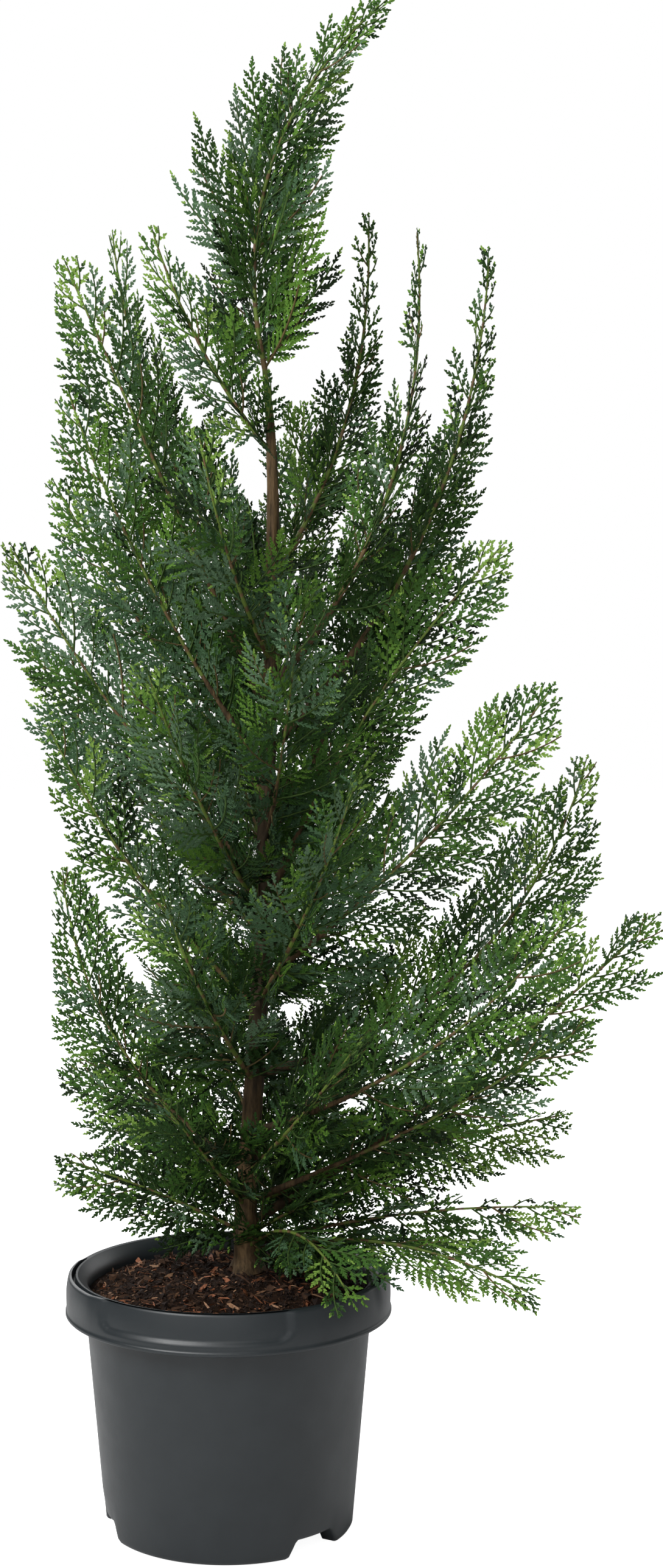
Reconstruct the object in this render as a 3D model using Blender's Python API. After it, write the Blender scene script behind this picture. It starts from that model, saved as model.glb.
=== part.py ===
"""Potted Lawson cypress: nursery pot, soil, trunk, boughs and masses of foliage.

Metres, +Z up. The origin is on the pot's axis, at the ground that the pot stands on,
and -Y is the side that faces the viewer.
"""
import math
import random
from typing import NamedTuple

import bmesh
import bpy
import numpy as np
from mathutils import Matrix, Vector
from mathutils.bvhtree import BVHTree

GAP = 0.0003                 # air left between two pieces that touch
WELD = 0.000002              # points nearer than this are one
SOLVERS = ("EXACT", "MANIFOLD")
TANGENT_STEP = 0.001         # share of a limb's line over which its direction is taken

# Pot: a tapering nursery pot with a wide hanging collar and three broad feet
POT_HEIGHT = 0.190
POT_FOOT_RADIUS = 0.0916
POT_FLARE = 0.085            # outward slope of the wall
POT_WALL = 0.0028
POT_SEGMENTS = 36
COLLAR_BOTTOM = 0.161
COLLAR_RADIUS = 0.1204
COLLAR_TOP_RADIUS = 0.1165
COLLAR_SKIN = 0.0024
COLLAR_BEAD = 0.0035         # height of the thicker band at the collar's lower edge
RIM_INNER_RADIUS = 0.1106
RIM_ROUND = 0.0014
FLOOR_LIFT = 0.011
FOOT_BAND = 0.012            # how far the feet reach in from the wall
HUB_RADIUS = 0.030           # round foot under the middle of the floor
NOTCH_HEIGHT = 0.0125
NOTCH_TURNS = (-45.0, -165.0, 75.0)
NOTCH_TOP_ANGLE = 18.0
NOTCH_FOOT_ANGLE = 34.0
NOTCH_REACH = 1.5            # how far a notch goes in from the wall, in widths of the foot band

# Soil: fills the pot to just under the rim, heaped a little round the trunk
SOIL_EDGE_HEIGHT = 0.176
SOIL_CROWN_HEIGHT = 0.1868
SOIL_PAD_RADIUS = 0.024      # level patch that the trunk stands on
SOIL_ROUGHNESS = 0.0012
SOIL_RINGS = 4


class Station(NamedTuple):
    """Where the trunk's centre line is at one height, and how thick the trunk is there."""
    height: float
    right: float
    back: float
    radius: float


# Trunk: root flare, grafted swelling, a lean to the right, then the taper to the tip
TRUNK = (
    Station(SOIL_CROWN_HEIGHT + GAP, 0.0128, 0.010, 0.0128),
    Station(0.197, 0.0128, 0.010, 0.0096),
    Station(0.206, 0.0125, 0.010, 0.0086),
    Station(0.219, 0.0125, 0.010, 0.0098),
    Station(0.234, 0.0126, 0.010, 0.0079),
    Station(0.332, 0.0190, 0.008, 0.0072),
    Station(0.429, 0.0248, 0.006, 0.0068),
    Station(0.580, 0.0300, 0.004, 0.0058),
    Station(0.726, 0.0336, 0.002, 0.0048),
    Station(0.804, 0.0324, 0.000, 0.0034),
    Station(0.850, 0.0282, 0.000, 0.0020),
)
TRUNK_SIDES = 10
TRUNK_STEPS = 2              # rings from one station to the next

# Boughs: five-sided, as thick at the trunk as their length asks
BOUGH_SIDES = 5
BOUGH_RINGS = 4
BOUGH_RADIUS_PER_LENGTH = 0.0105
BOUGH_TIP_SHARE = 0.45       # radius at the bough's tip against its foot

# Foliage: three-sided stems that carry flat toothed blades, each one a spray
STEM_RINGS = 8
STEM_FOOT_RADIUS = 0.0016
STEM_TIP_RADIUS = 0.0007
STEM_END = 0.97              # share of the limb's line at which the last blade takes over
BLADE_SPACING = 0.0205
BLADE_LEAST = 4              # side blades on the shortest stem
BARE_AFTER_BOUGH = 0.06      # share of the stem without blades, where a bough carries it
BARE_AT_TRUNK = 0.28         # the same where the stem leaves the trunk itself
BLADE_WIDTH_SHARE = 0.54
BLADE_THICKNESS_SHARE = 0.026
BLADE_SHOULDER = (0.10, 0.16)    # place and half width of a blade's narrow shoulder, as shares
BLADE_TIP_ROOM = 0.45        # length past the last tooth, in teeth
BLADE_ROUNDING = 2.2         # how late the outline turns in towards the tip
BLADE_FULLNESS = 1.15        # width at a tooth against the plain outline
NOTCH_STEP = 0.035           # from a tooth's point to the notch after it, as a share of the length
BLADE_SINK = 0.0008          # how far a blade's root goes past its stem's centre line
BLADE_MIN_LENGTH = 0.022
BLADE_NOTCH_SHARE = 0.42     # width left at a notch, against the tooth before it
BLADE_SHORTENING = 0.88      # a blade is at least this share of the length it could have
UP_SPILL = 0.005             # a blade rises no further than this over its limb's highest point
RIB_PLACE = 0.45             # share of a blade's length at which it is thickest
LONG_BLADE = 0.088           # a blade at least this long has three teeth a side
BLADE_ANGLES = (56.0, 24.0)  # from the stem, at the stem's foot and at its tip
SPREAD = 48.0                # how far blades turn out of the spray's own plane
LENGTH_TRIALS = (1.0, 0.85, 0.7, 0.58, 0.46, 0.36)
TURN_TRIALS = (0.0, 25.0, -25.0, 50.0, -50.0)
OWN_SPACE = 0.0012           # a blade stays this much nearer its own stem than any other
LIMB_CLEARANCE = 0.0012
POT_CLEARANCE = 0.0030
LINE_POINTS = 9              # points that stand for a stem when distances are taken
PLAN_POINTS = 25             # points of a stem between which its blades are placed
LENGTH_STEPS = 20            # straight pieces by which a limb's length is taken
GROWTHS = 3                  # a mass that does not fuse grows again from another seed
SEED = 41
MILLIMETRES = 1000           # to a metre, for a seed of its own from each tip height


class Limb(NamedTuple):
    """One line from the trunk to a furthest tip: a bare bough, then the foliage it carries."""
    name: str
    start: float             # height at which it leaves the trunk
    turn: float              # direction of the tip about the pot's axis, degrees from +X
    reach: float             # distance of the tip from the pot's axis
    tip: float               # height of the tip
    bow: float = -0.05       # rise of the line's middle over its chord, against its length
    bough: float = 0.0       # share of the line that is bare bough, none on short limbs
    spray: float = 0.094     # length of the longest blade
    roll: float = 90.0       # the spray's plane: 0 lies flat, 90 stands upright; 0 faces -Y on the leader
    tip_blade: float = 0.036    # length of a side blade at the very tip
    taper: float = 0.42      # growth of the side blades back from the tip
    spill: float = 0.008     # how far a blade may pass the line's own furthest point


LEADER = Limb("leader", 0.8505, 0, 0.113, 1.1085, bow=0.148, spray=0.084, roll=0, tip_blade=0.045,
              taper=0.25, spill=0.018)
SHOOT = {"tip_blade": 0.020, "taper": 0.30, "spill": 0.004}

LIMBS = (
    # The right side, from the foot up
    Limb("right_lowest", 0.201, 342, 0.230, 0.192, bow=0.10, spray=0.082, roll=30),
    Limb("right_foot", 0.212, 325, 0.100, 0.262, bow=0.03, spray=0.064, roll=40),
    Limb("right_flat", 0.206, 354, 0.252, 0.244, bow=0.04, bough=0.30, spray=0.076),
    Limb("right_thin", 0.236, 15, 0.262, 0.292, bow=0.03, spray=0.064, taper=0.30),
    Limb("right_strong_low", 0.240, 348, 0.264, 0.384, bow=-0.03, bough=0.32, spray=0.080),
    Limb("right_strong", 0.222, 6, 0.320, 0.449, bow=-0.03, bough=0.34, spray=0.102),
    Limb("right_fan_low", 0.292, 343, 0.259, 0.470, bow=-0.08, bough=0.30, spray=0.100),
    Limb("right_fan", 0.335, 9, 0.269, 0.565, bow=-0.15, bough=0.30, spray=0.108),
    Limb("right_mid", 0.405, 348, 0.237, 0.624, bow=-0.04, bough=0.30, spray=0.100),
    Limb("right_shoulder", 0.455, 351, 0.200, 0.724, bow=0.05, bough=0.30, spray=0.096),
    Limb("right_back", 0.510, 25, 0.210, 0.859, bow=-0.03, bough=0.32, spray=0.100, **SHOOT),
    Limb("right_high", 0.575, 6, 0.191, 0.937, bow=-0.10, bough=0.30, spray=0.100, **SHOOT),
    Limb("right_plume", 0.620, 340, 0.144, 0.942, bow=-0.12, bough=0.28, roll=40, **SHOOT),
    Limb("right_inner", 0.700, 30, 0.119, 0.965, bow=-0.10, roll=60, **SHOOT),
    # The left side, from the foot up
    Limb("left_lowest", 0.215, 199, 0.124, 0.283, bow=0.02, spray=0.078),
    Limb("left_lower", 0.245, 158, 0.131, 0.335, bow=0.0),
    Limb("left_low", 0.262, 175, 0.122, 0.485, bow=-0.12, bough=0.28, spray=0.094),
    Limb("left_mid_front", 0.385, 201, 0.134, 0.598, bow=-0.05, spray=0.096, spill=0.002),
    Limb("left_mid", 0.440, 159, 0.160, 0.650, bow=-0.03, spray=0.100, spill=0.002),
    Limb("left_wide", 0.480, 187, 0.154, 0.723, bow=-0.04, bough=0.28, spray=0.100),
    Limb("left_outer", 0.540, 160, 0.137, 0.770, bow=-0.02),
    Limb("left_shoulder", 0.560, 205, 0.120, 0.833, bow=-0.04, bough=0.27, spray=0.094),
    Limb("left_high", 0.600, 180, 0.115, 0.926, bow=0.0, bough=0.32, spray=0.094),
    Limb("left_high_back", 0.670, 145, 0.104, 0.952, bow=-0.08, roll=60, tip_blade=0.024),
    Limb("crown_left", 0.790, 211, 0.058, 0.944, bow=-0.05, spray=0.070, roll=30, tip_blade=0.024),
    # The side towards the viewer
    Limb("front_drape", 0.203, 308, 0.146, 0.200, bow=0.20, spray=0.058, roll=10),
    Limb("front_left_foot", 0.235, 250, 0.128, 0.345, bow=0.0, roll=20),
    Limb("front_right_low", 0.262, 305, 0.171, 0.392, bow=-0.02, roll=20),
    Limb("front_left_low", 0.330, 255, 0.151, 0.490, bow=-0.04, roll=15),
    Limb("front_right", 0.390, 303, 0.171, 0.570, bow=-0.04, roll=15),
    Limb("front_left", 0.455, 250, 0.142, 0.640, bow=-0.04, roll=20),
    Limb("front_bough", 0.505, 293, 0.142, 0.698, bow=-0.05, bough=0.28, roll=10),
    Limb("front_high", 0.640, 262, 0.103, 0.800, bow=-0.06, spray=0.082, roll=10),
    # The far side
    Limb("back_foot", 0.225, 71, 0.138, 0.275, bow=0.02, roll=20),
    Limb("back_right_low", 0.275, 55, 0.190, 0.400, bow=-0.03, roll=20),
    Limb("back_left_low", 0.300, 108, 0.160, 0.425, bow=-0.03, roll=20),
    Limb("back_mid", 0.355, 84, 0.172, 0.545, bow=-0.05, roll=15),
    Limb("back_right", 0.425, 52, 0.190, 0.640, bow=-0.05, bough=0.28, roll=25),
    Limb("back_left", 0.500, 105, 0.145, 0.735, bow=-0.05, roll=15),
    Limb("back_high", 0.600, 66, 0.136, 0.830, bow=-0.06, roll=15),
)


class Finish(NamedTuple):
    """Plain surface values that one kind of node wears."""
    colour: tuple
    roughness: float


POT_FINISH = Finish((0.045, 0.054, 0.060), 0.52)
SOIL_FINISH = Finish((0.040, 0.020, 0.012), 0.95)
BARK_FINISH = Finish((0.120, 0.062, 0.038), 0.88)
FOLIAGE_FINISH = Finish((0.050, 0.120, 0.060), 0.70)


# Helpers

def clear_scene():
    """Removes every object and mesh of the opening file."""
    for obj in list(bpy.data.objects):
        bpy.data.objects.remove(obj, do_unlink=True)
    for mesh in list(bpy.data.meshes):
        bpy.data.meshes.remove(mesh)


def add_object(name, bm, smooth=False):
    """Puts a finished bmesh in the scene as an object of that name."""
    bmesh.ops.recalc_face_normals(bm, faces=bm.faces)
    for face in bm.faces:
        face.smooth = smooth
    mesh = bpy.data.meshes.new(name)
    bm.to_mesh(mesh)
    bm.free()
    obj = bpy.data.objects.new(name, mesh)
    bpy.context.scene.collection.objects.link(obj)
    return obj


def dress(obj, finish):
    """Gives an object a material of its own."""
    material = bpy.data.materials.new(obj.name + "_material")
    material.use_nodes = True
    shader = material.node_tree.nodes["Principled BSDF"]
    shader.inputs["Base Color"].default_value = (*finish.colour, 1.0)
    shader.inputs["Roughness"].default_value = finish.roughness
    shader.inputs["Metallic"].default_value = 0.0
    obj.data.materials.clear()
    obj.data.materials.append(material)


def bake(obj):
    """Applies an object's modifiers."""
    bpy.context.view_layer.update()
    evaluated = obj.evaluated_get(bpy.context.evaluated_depsgraph_get())
    mesh = bpy.data.meshes.new_from_object(evaluated)
    former = obj.data
    obj.modifiers.clear()
    obj.data = mesh
    mesh.name = obj.name
    bpy.data.meshes.remove(former)


def keep_main_shell(obj):
    """Leaves the largest shell, so hollows are filled and scraps dropped; true if it is closed."""
    bm = bmesh.new()
    bm.from_mesh(obj.data)
    bmesh.ops.remove_doubles(bm, verts=bm.verts, dist=WELD)
    bmesh.ops.triangulate(bm, faces=bm.faces)
    bm.faces.ensure_lookup_table()
    seen = set()
    shells = []
    for face in bm.faces:
        if face.index in seen:
            continue
        shell = []
        waiting = [face]
        seen.add(face.index)
        while waiting:
            current = waiting.pop()
            shell.append(current)
            for edge in current.edges:
                for other in edge.link_faces:
                    if other.index not in seen:
                        seen.add(other.index)
                        waiting.append(other)
        shells.append(shell)

    def volume(shell):
        total = 0.0
        for part in shell:
            a, b, c = (vert.co for vert in part.verts)
            total += a.dot(b.cross(c)) / 6
        return total

    main = max(shells, key=volume)
    scraps = [face for shell in shells if shell is not main for face in shell]
    bmesh.ops.delete(bm, geom=scraps, context="FACES")
    loose = [vert for vert in bm.verts if not vert.link_faces]
    bmesh.ops.delete(bm, geom=loose, context="VERTS")
    closed = all(edge.is_manifold for edge in bm.edges) and all(vert.is_manifold for vert in bm.verts)
    bm.to_mesh(obj.data)
    bm.free()
    return closed


def fuse(obj, operation, operand):
    """Applies a Boolean with an object or a collection; true if one solver closes the result."""
    original = obj.data.copy()
    for solver in SOLVERS:
        obj.data = original.copy()
        boolean = obj.modifiers.new(operation.title(), "BOOLEAN")
        boolean.operation = operation
        boolean.solver = solver
        if isinstance(operand, bpy.types.Collection):
            boolean.operand_type = "COLLECTION"
            boolean.collection = operand
        else:
            boolean.object = operand
        bake(obj)
        if keep_main_shell(obj):
            return True
    obj.data = original
    return False


def lathe(profile, segments):
    """Turns (radius, height) pairs about the Z axis; a radius of nought is a pole."""
    bm = bmesh.new()
    rings = []
    for radius, height in profile:
        if radius == 0:
            rings.append([bm.verts.new((0, 0, height))])
            continue
        ring = []
        for step in range(segments):
            angle = math.tau * step / segments
            ring.append(bm.verts.new((radius * math.cos(angle), radius * math.sin(angle), height)))
        rings.append(ring)
    for lower, upper in zip(rings, rings[1:]):
        for step in range(segments):
            corners = [lower[step % len(lower)], lower[(step + 1) % len(lower)],
                       upper[(step + 1) % len(upper)], upper[step % len(upper)]]
            bm.faces.new(list(dict.fromkeys(corners)))
    return bm


def tube(curve, shares, radii, sides):
    """A closed tapering limb along part of a curve, cut square to the curve at both ends."""
    bm = bmesh.new()
    rings = []
    across = Vector((0, 1, 0))
    for index, share in enumerate(shares):
        point = curve(share)
        along = (curve(share + TANGENT_STEP) - curve(share - TANGENT_STEP)).normalized()
        across = (across - along * across.dot(along)).normalized()
        up = along.cross(across)
        ring = []
        for side in range(sides):
            angle = math.tau * side / sides
            offset = across * math.cos(angle) + up * math.sin(angle)
            ring.append(bm.verts.new(point + offset * radii[index]))
        rings.append(ring)
    for lower, upper in zip(rings, rings[1:]):
        for side in range(sides):
            after = (side + 1) % sides
            bm.faces.new((lower[side], lower[after], upper[after], upper[side]))
    bm.faces.new(rings[0])
    bm.faces.new(rings[-1])
    return bm


# Pot and soil

def wall_radius(height):
    """Outer radius of the pot's wall at a height."""
    return POT_FOOT_RADIUS + POT_FLARE * height


def bore_radius(height):
    """Inner radius of the pot at a height."""
    return min(wall_radius(height) - POT_WALL, RIM_INNER_RADIUS)


def build_pot():
    """The pot: turned in one piece, with three notches cut between its feet."""
    foot_inner = POT_FOOT_RADIUS - FOOT_BAND
    floor_top = FLOOR_LIFT + POT_WALL
    cavity_top = POT_HEIGHT - 2 * POT_WALL
    skirt_inner = COLLAR_RADIUS - COLLAR_SKIN
    bead_top = COLLAR_BOTTOM + COLLAR_BEAD
    profile = (
        (0, 0),
        (HUB_RADIUS, 0),
        (HUB_RADIUS + POT_WALL, FLOOR_LIFT),
        (foot_inner - POT_WALL, FLOOR_LIFT),
        (foot_inner, 0),
        (POT_FOOT_RADIUS, 0),
        (wall_radius(cavity_top), cavity_top),
        (COLLAR_TOP_RADIUS - COLLAR_SKIN, cavity_top),
        (skirt_inner, COLLAR_BOTTOM),
        (COLLAR_RADIUS, COLLAR_BOTTOM),
        (COLLAR_RADIUS, bead_top),
        (COLLAR_RADIUS - RIM_ROUND, bead_top + RIM_ROUND),
        (COLLAR_TOP_RADIUS, POT_HEIGHT - RIM_ROUND),
        (COLLAR_TOP_RADIUS - RIM_ROUND, POT_HEIGHT),
        (RIM_INNER_RADIUS + RIM_ROUND, POT_HEIGHT),
        (RIM_INNER_RADIUS, POT_HEIGHT - RIM_ROUND),
        (bore_radius(floor_top), floor_top),
        (0, floor_top),
    )
    pot = add_object("pot", lathe(profile, POT_SEGMENTS))
    for turn in NOTCH_TURNS:
        cutter = add_notch_cutter(turn)
        fuse(pot, "DIFFERENCE", cutter)
        bpy.data.objects.remove(cutter)
    return pot


def add_notch_cutter(turn):
    """A wedge that is wider at the ground than at its top, standing across the foot band."""
    bm = bmesh.new()
    inner = POT_FOOT_RADIUS - NOTCH_REACH * FOOT_BAND
    outer = COLLAR_RADIUS
    corners = []
    for angle, height in ((NOTCH_FOOT_ANGLE, -NOTCH_HEIGHT), (NOTCH_TOP_ANGLE, NOTCH_HEIGHT)):
        half_width = POT_FOOT_RADIUS * math.sin(math.radians(angle / 2))
        for along, side in ((inner, -1), (outer, -1), (outer, 1), (inner, 1)):
            corners.append(bm.verts.new((along, side * half_width, height)))
    bm.faces.new(corners[:4])
    bm.faces.new(corners[4:])
    for index in range(4):
        after = (index + 1) % 4
        bm.faces.new((corners[index], corners[after], corners[after + 4], corners[index + 4]))
    bmesh.ops.rotate(bm, verts=bm.verts, matrix=Matrix.Rotation(math.radians(turn), 3, "Z"))
    cutter = add_object("notch_cutter", bm)
    cutter.hide_render = True
    cutter.display_type = "WIRE"
    return cutter


def build_soil():
    """The soil: a plug that fills the pot, with a rough heaped top round a level patch."""
    floor_top = FLOOR_LIFT + POT_WALL
    dice = random.Random(SEED)
    centre = Vector((TRUNK[0].right, TRUNK[0].back, 0))
    edge_radius = bore_radius(SOIL_EDGE_HEIGHT) - GAP
    bm = lathe(((0, floor_top + GAP),
                (bore_radius(floor_top) - 2 * GAP, floor_top + GAP),
                (edge_radius, SOIL_EDGE_HEIGHT)), POT_SEGMENTS)
    bm.verts.ensure_lookup_table()
    outer = [vert for vert in bm.verts if vert.co.z > floor_top + POT_WALL]
    previous = outer
    for ring in range(1, SOIL_RINGS):
        share = ring / (SOIL_RINGS - 1)
        height = SOIL_EDGE_HEIGHT + (SOIL_CROWN_HEIGHT - SOIL_EDGE_HEIGHT) * math.sin(share * math.pi / 2)
        current = []
        for vert in outer:
            rim = vert.co.copy()
            spot = rim.lerp(centre + (rim - centre).normalized() * SOIL_PAD_RADIUS, share)
            rough = 0.0 if ring == SOIL_RINGS - 1 else dice.uniform(-SOIL_ROUGHNESS, SOIL_ROUGHNESS)
            current.append(bm.verts.new((spot.x, spot.y, height + rough)))
        for index in range(POT_SEGMENTS):
            after = (index + 1) % POT_SEGMENTS
            bm.faces.new((previous[index], previous[after], current[after], current[index]))
        previous = current
    for vert in previous:
        spot = centre + (Vector((vert.co.x, vert.co.y, 0)) - centre).normalized() * SOIL_PAD_RADIUS
        vert.co = (spot.x, spot.y, SOIL_CROWN_HEIGHT)
    bm.faces.new(previous)
    bmesh.ops.triangulate(bm, faces=bm.faces)
    return add_object("soil", bm)


# Trunk and boughs

def trunk_line(extra=0.0):
    """The trunk's centre points and radii, ring by ring, and a little wider where asked."""
    heights = []
    for lower, upper in zip(TRUNK, TRUNK[1:]):
        for step in range(TRUNK_STEPS):
            heights.append(lower.height + (upper.height - lower.height) * step / TRUNK_STEPS)
    heights.append(TRUNK[-1].height)
    points = [trunk_point(height) for height in heights]
    stations = [station.height for station in TRUNK]
    radii = [float(np.interp(height, stations, [station.radius for station in TRUNK])) + extra
             for height in heights]
    return points, radii


def trunk_point(height):
    """The trunk's centre at a height, on a smooth curve through its stations."""
    heights = np.array([station.height for station in TRUNK])
    place = int(np.clip(np.searchsorted(heights, height) - 1, 0, len(TRUNK) - 2))
    lower, upper = TRUNK[place], TRUNK[place + 1]
    before, after = TRUNK[max(place - 1, 0)], TRUNK[min(place + 2, len(TRUNK) - 1)]
    span = upper.height - lower.height
    share = (height - lower.height) / span
    start_slope = (upper.right - before.right) / (upper.height - before.height) * span
    end_slope = (after.right - lower.right) / (after.height - lower.height) * span
    right = (lower.right * (1 + 2 * share) * (1 - share) ** 2 + start_slope * share * (1 - share) ** 2
             + upper.right * share ** 2 * (3 - 2 * share) + end_slope * share ** 2 * (share - 1))
    back = lower.back + (upper.back - lower.back) * share
    return Vector((right, back, height))


def upright_tube(points, radii, sides):
    """A tube whose rings lie level, so its foot is cut flat."""
    bm = bmesh.new()
    rings = []
    for point, radius in zip(points, radii):
        ring = []
        for side in range(sides):
            angle = math.tau * side / sides
            ring.append(bm.verts.new(point + Vector((math.cos(angle), math.sin(angle), 0)) * radius))
        rings.append(ring)
    for lower, upper in zip(rings, rings[1:]):
        for side in range(sides):
            after = (side + 1) % sides
            bm.faces.new((lower[side], lower[after], upper[after], upper[side]))
    bm.faces.new(rings[0])
    bm.faces.new(rings[-1])
    return bm


def build_trunk():
    """The trunk, whole from the soil to its tip under the leader."""
    points, radii = trunk_line()
    return add_object("trunk", upright_tube(points, radii, TRUNK_SIDES), smooth=True)


def add_trunk_cutter():
    """The trunk with the touching gap round it, which trims what grows out of it."""
    points, radii = trunk_line(extra=GAP)
    cutter = add_object("trunk_cutter", upright_tube(points, radii, TRUNK_SIDES))
    cutter.hide_render = True
    cutter.display_type = "WIRE"
    return cutter


def limb_curve(limb):
    """The limb's whole line as a function of its share, from the trunk's centre to the tip."""
    turn = math.radians(limb.turn)
    start = trunk_point(min(limb.start, TRUNK[-1].height))
    start.z = limb.start
    tip = Vector((limb.reach * math.cos(turn), limb.reach * math.sin(turn), limb.tip))
    chord = tip - start
    side = Vector((0, 0, 1)).cross(chord).normalized()
    lift = chord.cross(side).normalized()
    middle = (start + tip) / 2 + lift * 2 * limb.bow * chord.length
    return lambda share: (start * (1 - share) ** 2 + middle * 2 * share * (1 - share)
                          + tip * share ** 2)


def limb_length(limb):
    """Length of the limb's line."""
    curve = limb_curve(limb)
    points = [curve(step / LENGTH_STEPS) for step in range(LENGTH_STEPS + 1)]
    return sum((after - before).length for before, after in zip(points, points[1:]))


def bough_radius(limb, share):
    """Radius of a bough at a share of the limb's line."""
    foot = BOUGH_RADIUS_PER_LENGTH * limb_length(limb)
    return foot * (1 - (1 - BOUGH_TIP_SHARE) * share / limb.bough)


def build_bough(limb, cutter):
    """One bare tapering bough, trimmed a hair clear of the trunk."""
    curve = limb_curve(limb)
    shares = [limb.bough * step / (BOUGH_RINGS - 1) for step in range(BOUGH_RINGS)]
    radii = [bough_radius(limb, share) for share in shares]
    bough = add_object("bough_" + limb.name, tube(curve, shares, radii, BOUGH_SIDES), smooth=True)
    fuse(bough, "DIFFERENCE", cutter)
    return bough


# Foliage

def stem_start(limb):
    """Share of the limb's line at which the foliage's stem begins."""
    if limb is LEADER or not limb.bough:
        return 0.0
    return limb.bough + GAP / limb_length(limb)


def stem_points(limb, count):
    """Points along a foliage stem."""
    curve = limb_curve(limb)
    first = stem_start(limb)
    return [curve(first + (1 - first) * step / (count - 1)) for step in range(count)]


def half_outline(length, teeth):
    """One edge of a blade from root to tip: a narrow shoulder, then teeth that point forward."""
    half_width = length * BLADE_WIDTH_SHARE / 2
    edge = [(BLADE_SHOULDER[0] * length, BLADE_SHOULDER[1] * half_width)]
    for tooth in range(teeth):
        share = (tooth + 1) / (teeth + BLADE_TIP_ROOM)
        width = half_width * (1 - share ** BLADE_ROUNDING) * BLADE_FULLNESS
        edge.append((share * length, width))
        if tooth < teeth - 1:
            edge.append(((share + NOTCH_STEP) * length, width * BLADE_NOTCH_SHARE))
    return edge


def blade_bmesh(root, along, normal, length):
    """A flat toothed spray, thickest along its rib and sharp at its outline."""
    teeth = 3 if length >= LONG_BLADE else 2
    side = normal.cross(along)
    bm = bmesh.new()

    def place(distance, offset=0.0, lift=0.0):
        return bm.verts.new(root + along * distance + side * offset + normal * lift)

    first = place(-BLADE_SINK)
    last = place(length)
    half_thickness = length * BLADE_THICKNESS_SHARE / 2
    ribs = [place(RIB_PLACE * length, lift=lift) for lift in (half_thickness, -half_thickness)]
    for hand in (1, -1):
        edge = [first]
        edge += [place(distance, hand * width) for distance, width in half_outline(length, teeth)]
        edge.append(last)
        for rib in ribs:
            for before, after in zip(edge, edge[1:]):
                bm.faces.new((before, after, rib))
    return bm


def distance_to_lines(spots, lines):
    """Shortest distance from each spot to a set of straight pieces given by their ends."""
    starts, ends = lines
    spans = ends - starts
    offsets = spots[:, None, :] - starts[None, :, :]
    shares = np.einsum("ijk,jk->ij", offsets, spans) / np.einsum("jk,jk->j", spans, spans)
    nearest = starts + np.clip(shares, 0, 1)[:, :, None] * spans
    return np.linalg.norm(spots[:, None, :] - nearest, axis=2).min(axis=1)


def pieces_of(points):
    """The straight pieces of a line of points, as an array of starts and one of ends."""
    array = np.array([tuple(point) for point in points])
    return array[:-1], array[1:]


def clears_pot(spots):
    """True where every spot stays over the soil and off the pot's rim and collar."""
    out = np.hypot(spots[:, 0], spots[:, 1])
    over_rim = spots[:, 2] > POT_HEIGHT + POT_CLEARANCE
    outside = out > COLLAR_RADIUS + POT_CLEARANCE
    inside = (out < RIM_INNER_RADIUS - POT_CLEARANCE) & (spots[:, 2] > SOIL_CROWN_HEIGHT + POT_CLEARANCE)
    return bool(np.all(over_rim | outside | inside))


def stays_in_reach(limb, own, spots):
    """True where no spot goes further out or up than the limb's line, by more than its spill."""
    ends = own[1]
    out_limit = np.hypot(ends[:, 0], ends[:, 1]).max() + limb.spill
    up_limit = ends[:, 2].max() + min(limb.spill, UP_SPILL)
    return bool(np.all(np.hypot(spots[:, 0], spots[:, 1]) < out_limit) and np.all(spots[:, 2] < up_limit))


def blade_plans(limb, dice):
    """Where each blade would like to grow: root, direction, plane and length, foot to tip."""
    points = stem_points(limb, PLAN_POINTS)
    length = sum((after - before).length for before, after in zip(points, points[1:]))
    bare = BARE_AFTER_BOUGH if limb.bough or limb is LEADER else BARE_AT_TRUNK
    count = max(int(length * (1 - bare) / BLADE_SPACING), BLADE_LEAST)
    flat = Vector((0, 1, 0)) if limb is LEADER else Vector((0, 0, 1))
    plans = []
    for index in range(count):
        share = bare + (STEM_END - bare) * index / count
        spot = share * (len(points) - 1)
        place = min(int(spot), len(points) - 2)
        root = points[place].lerp(points[place + 1], spot - place)
        along = (points[place + 1] - points[place]).normalized()
        side = flat.cross(along).normalized()
        turn = math.radians(limb.roll + 180 * (index % 2) + dice.uniform(-SPREAD, SPREAD))
        angle = math.radians(BLADE_ANGLES[0] + (BLADE_ANGLES[1] - BLADE_ANGLES[0]) * share)
        remaining = length * (1 - share)
        size = min(limb.spray, limb.tip_blade + limb.taper * remaining)
        size *= dice.uniform(BLADE_SHORTENING, 1.0)
        plans.append((root, along, side, turn, angle, size))
    plans.append((points[-2], (points[-1] - points[-2]).normalized(),
                  flat.cross(points[-1] - points[-2]).normalized(),
                  math.radians(limb.roll), 0.0, None))
    return plans


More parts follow.
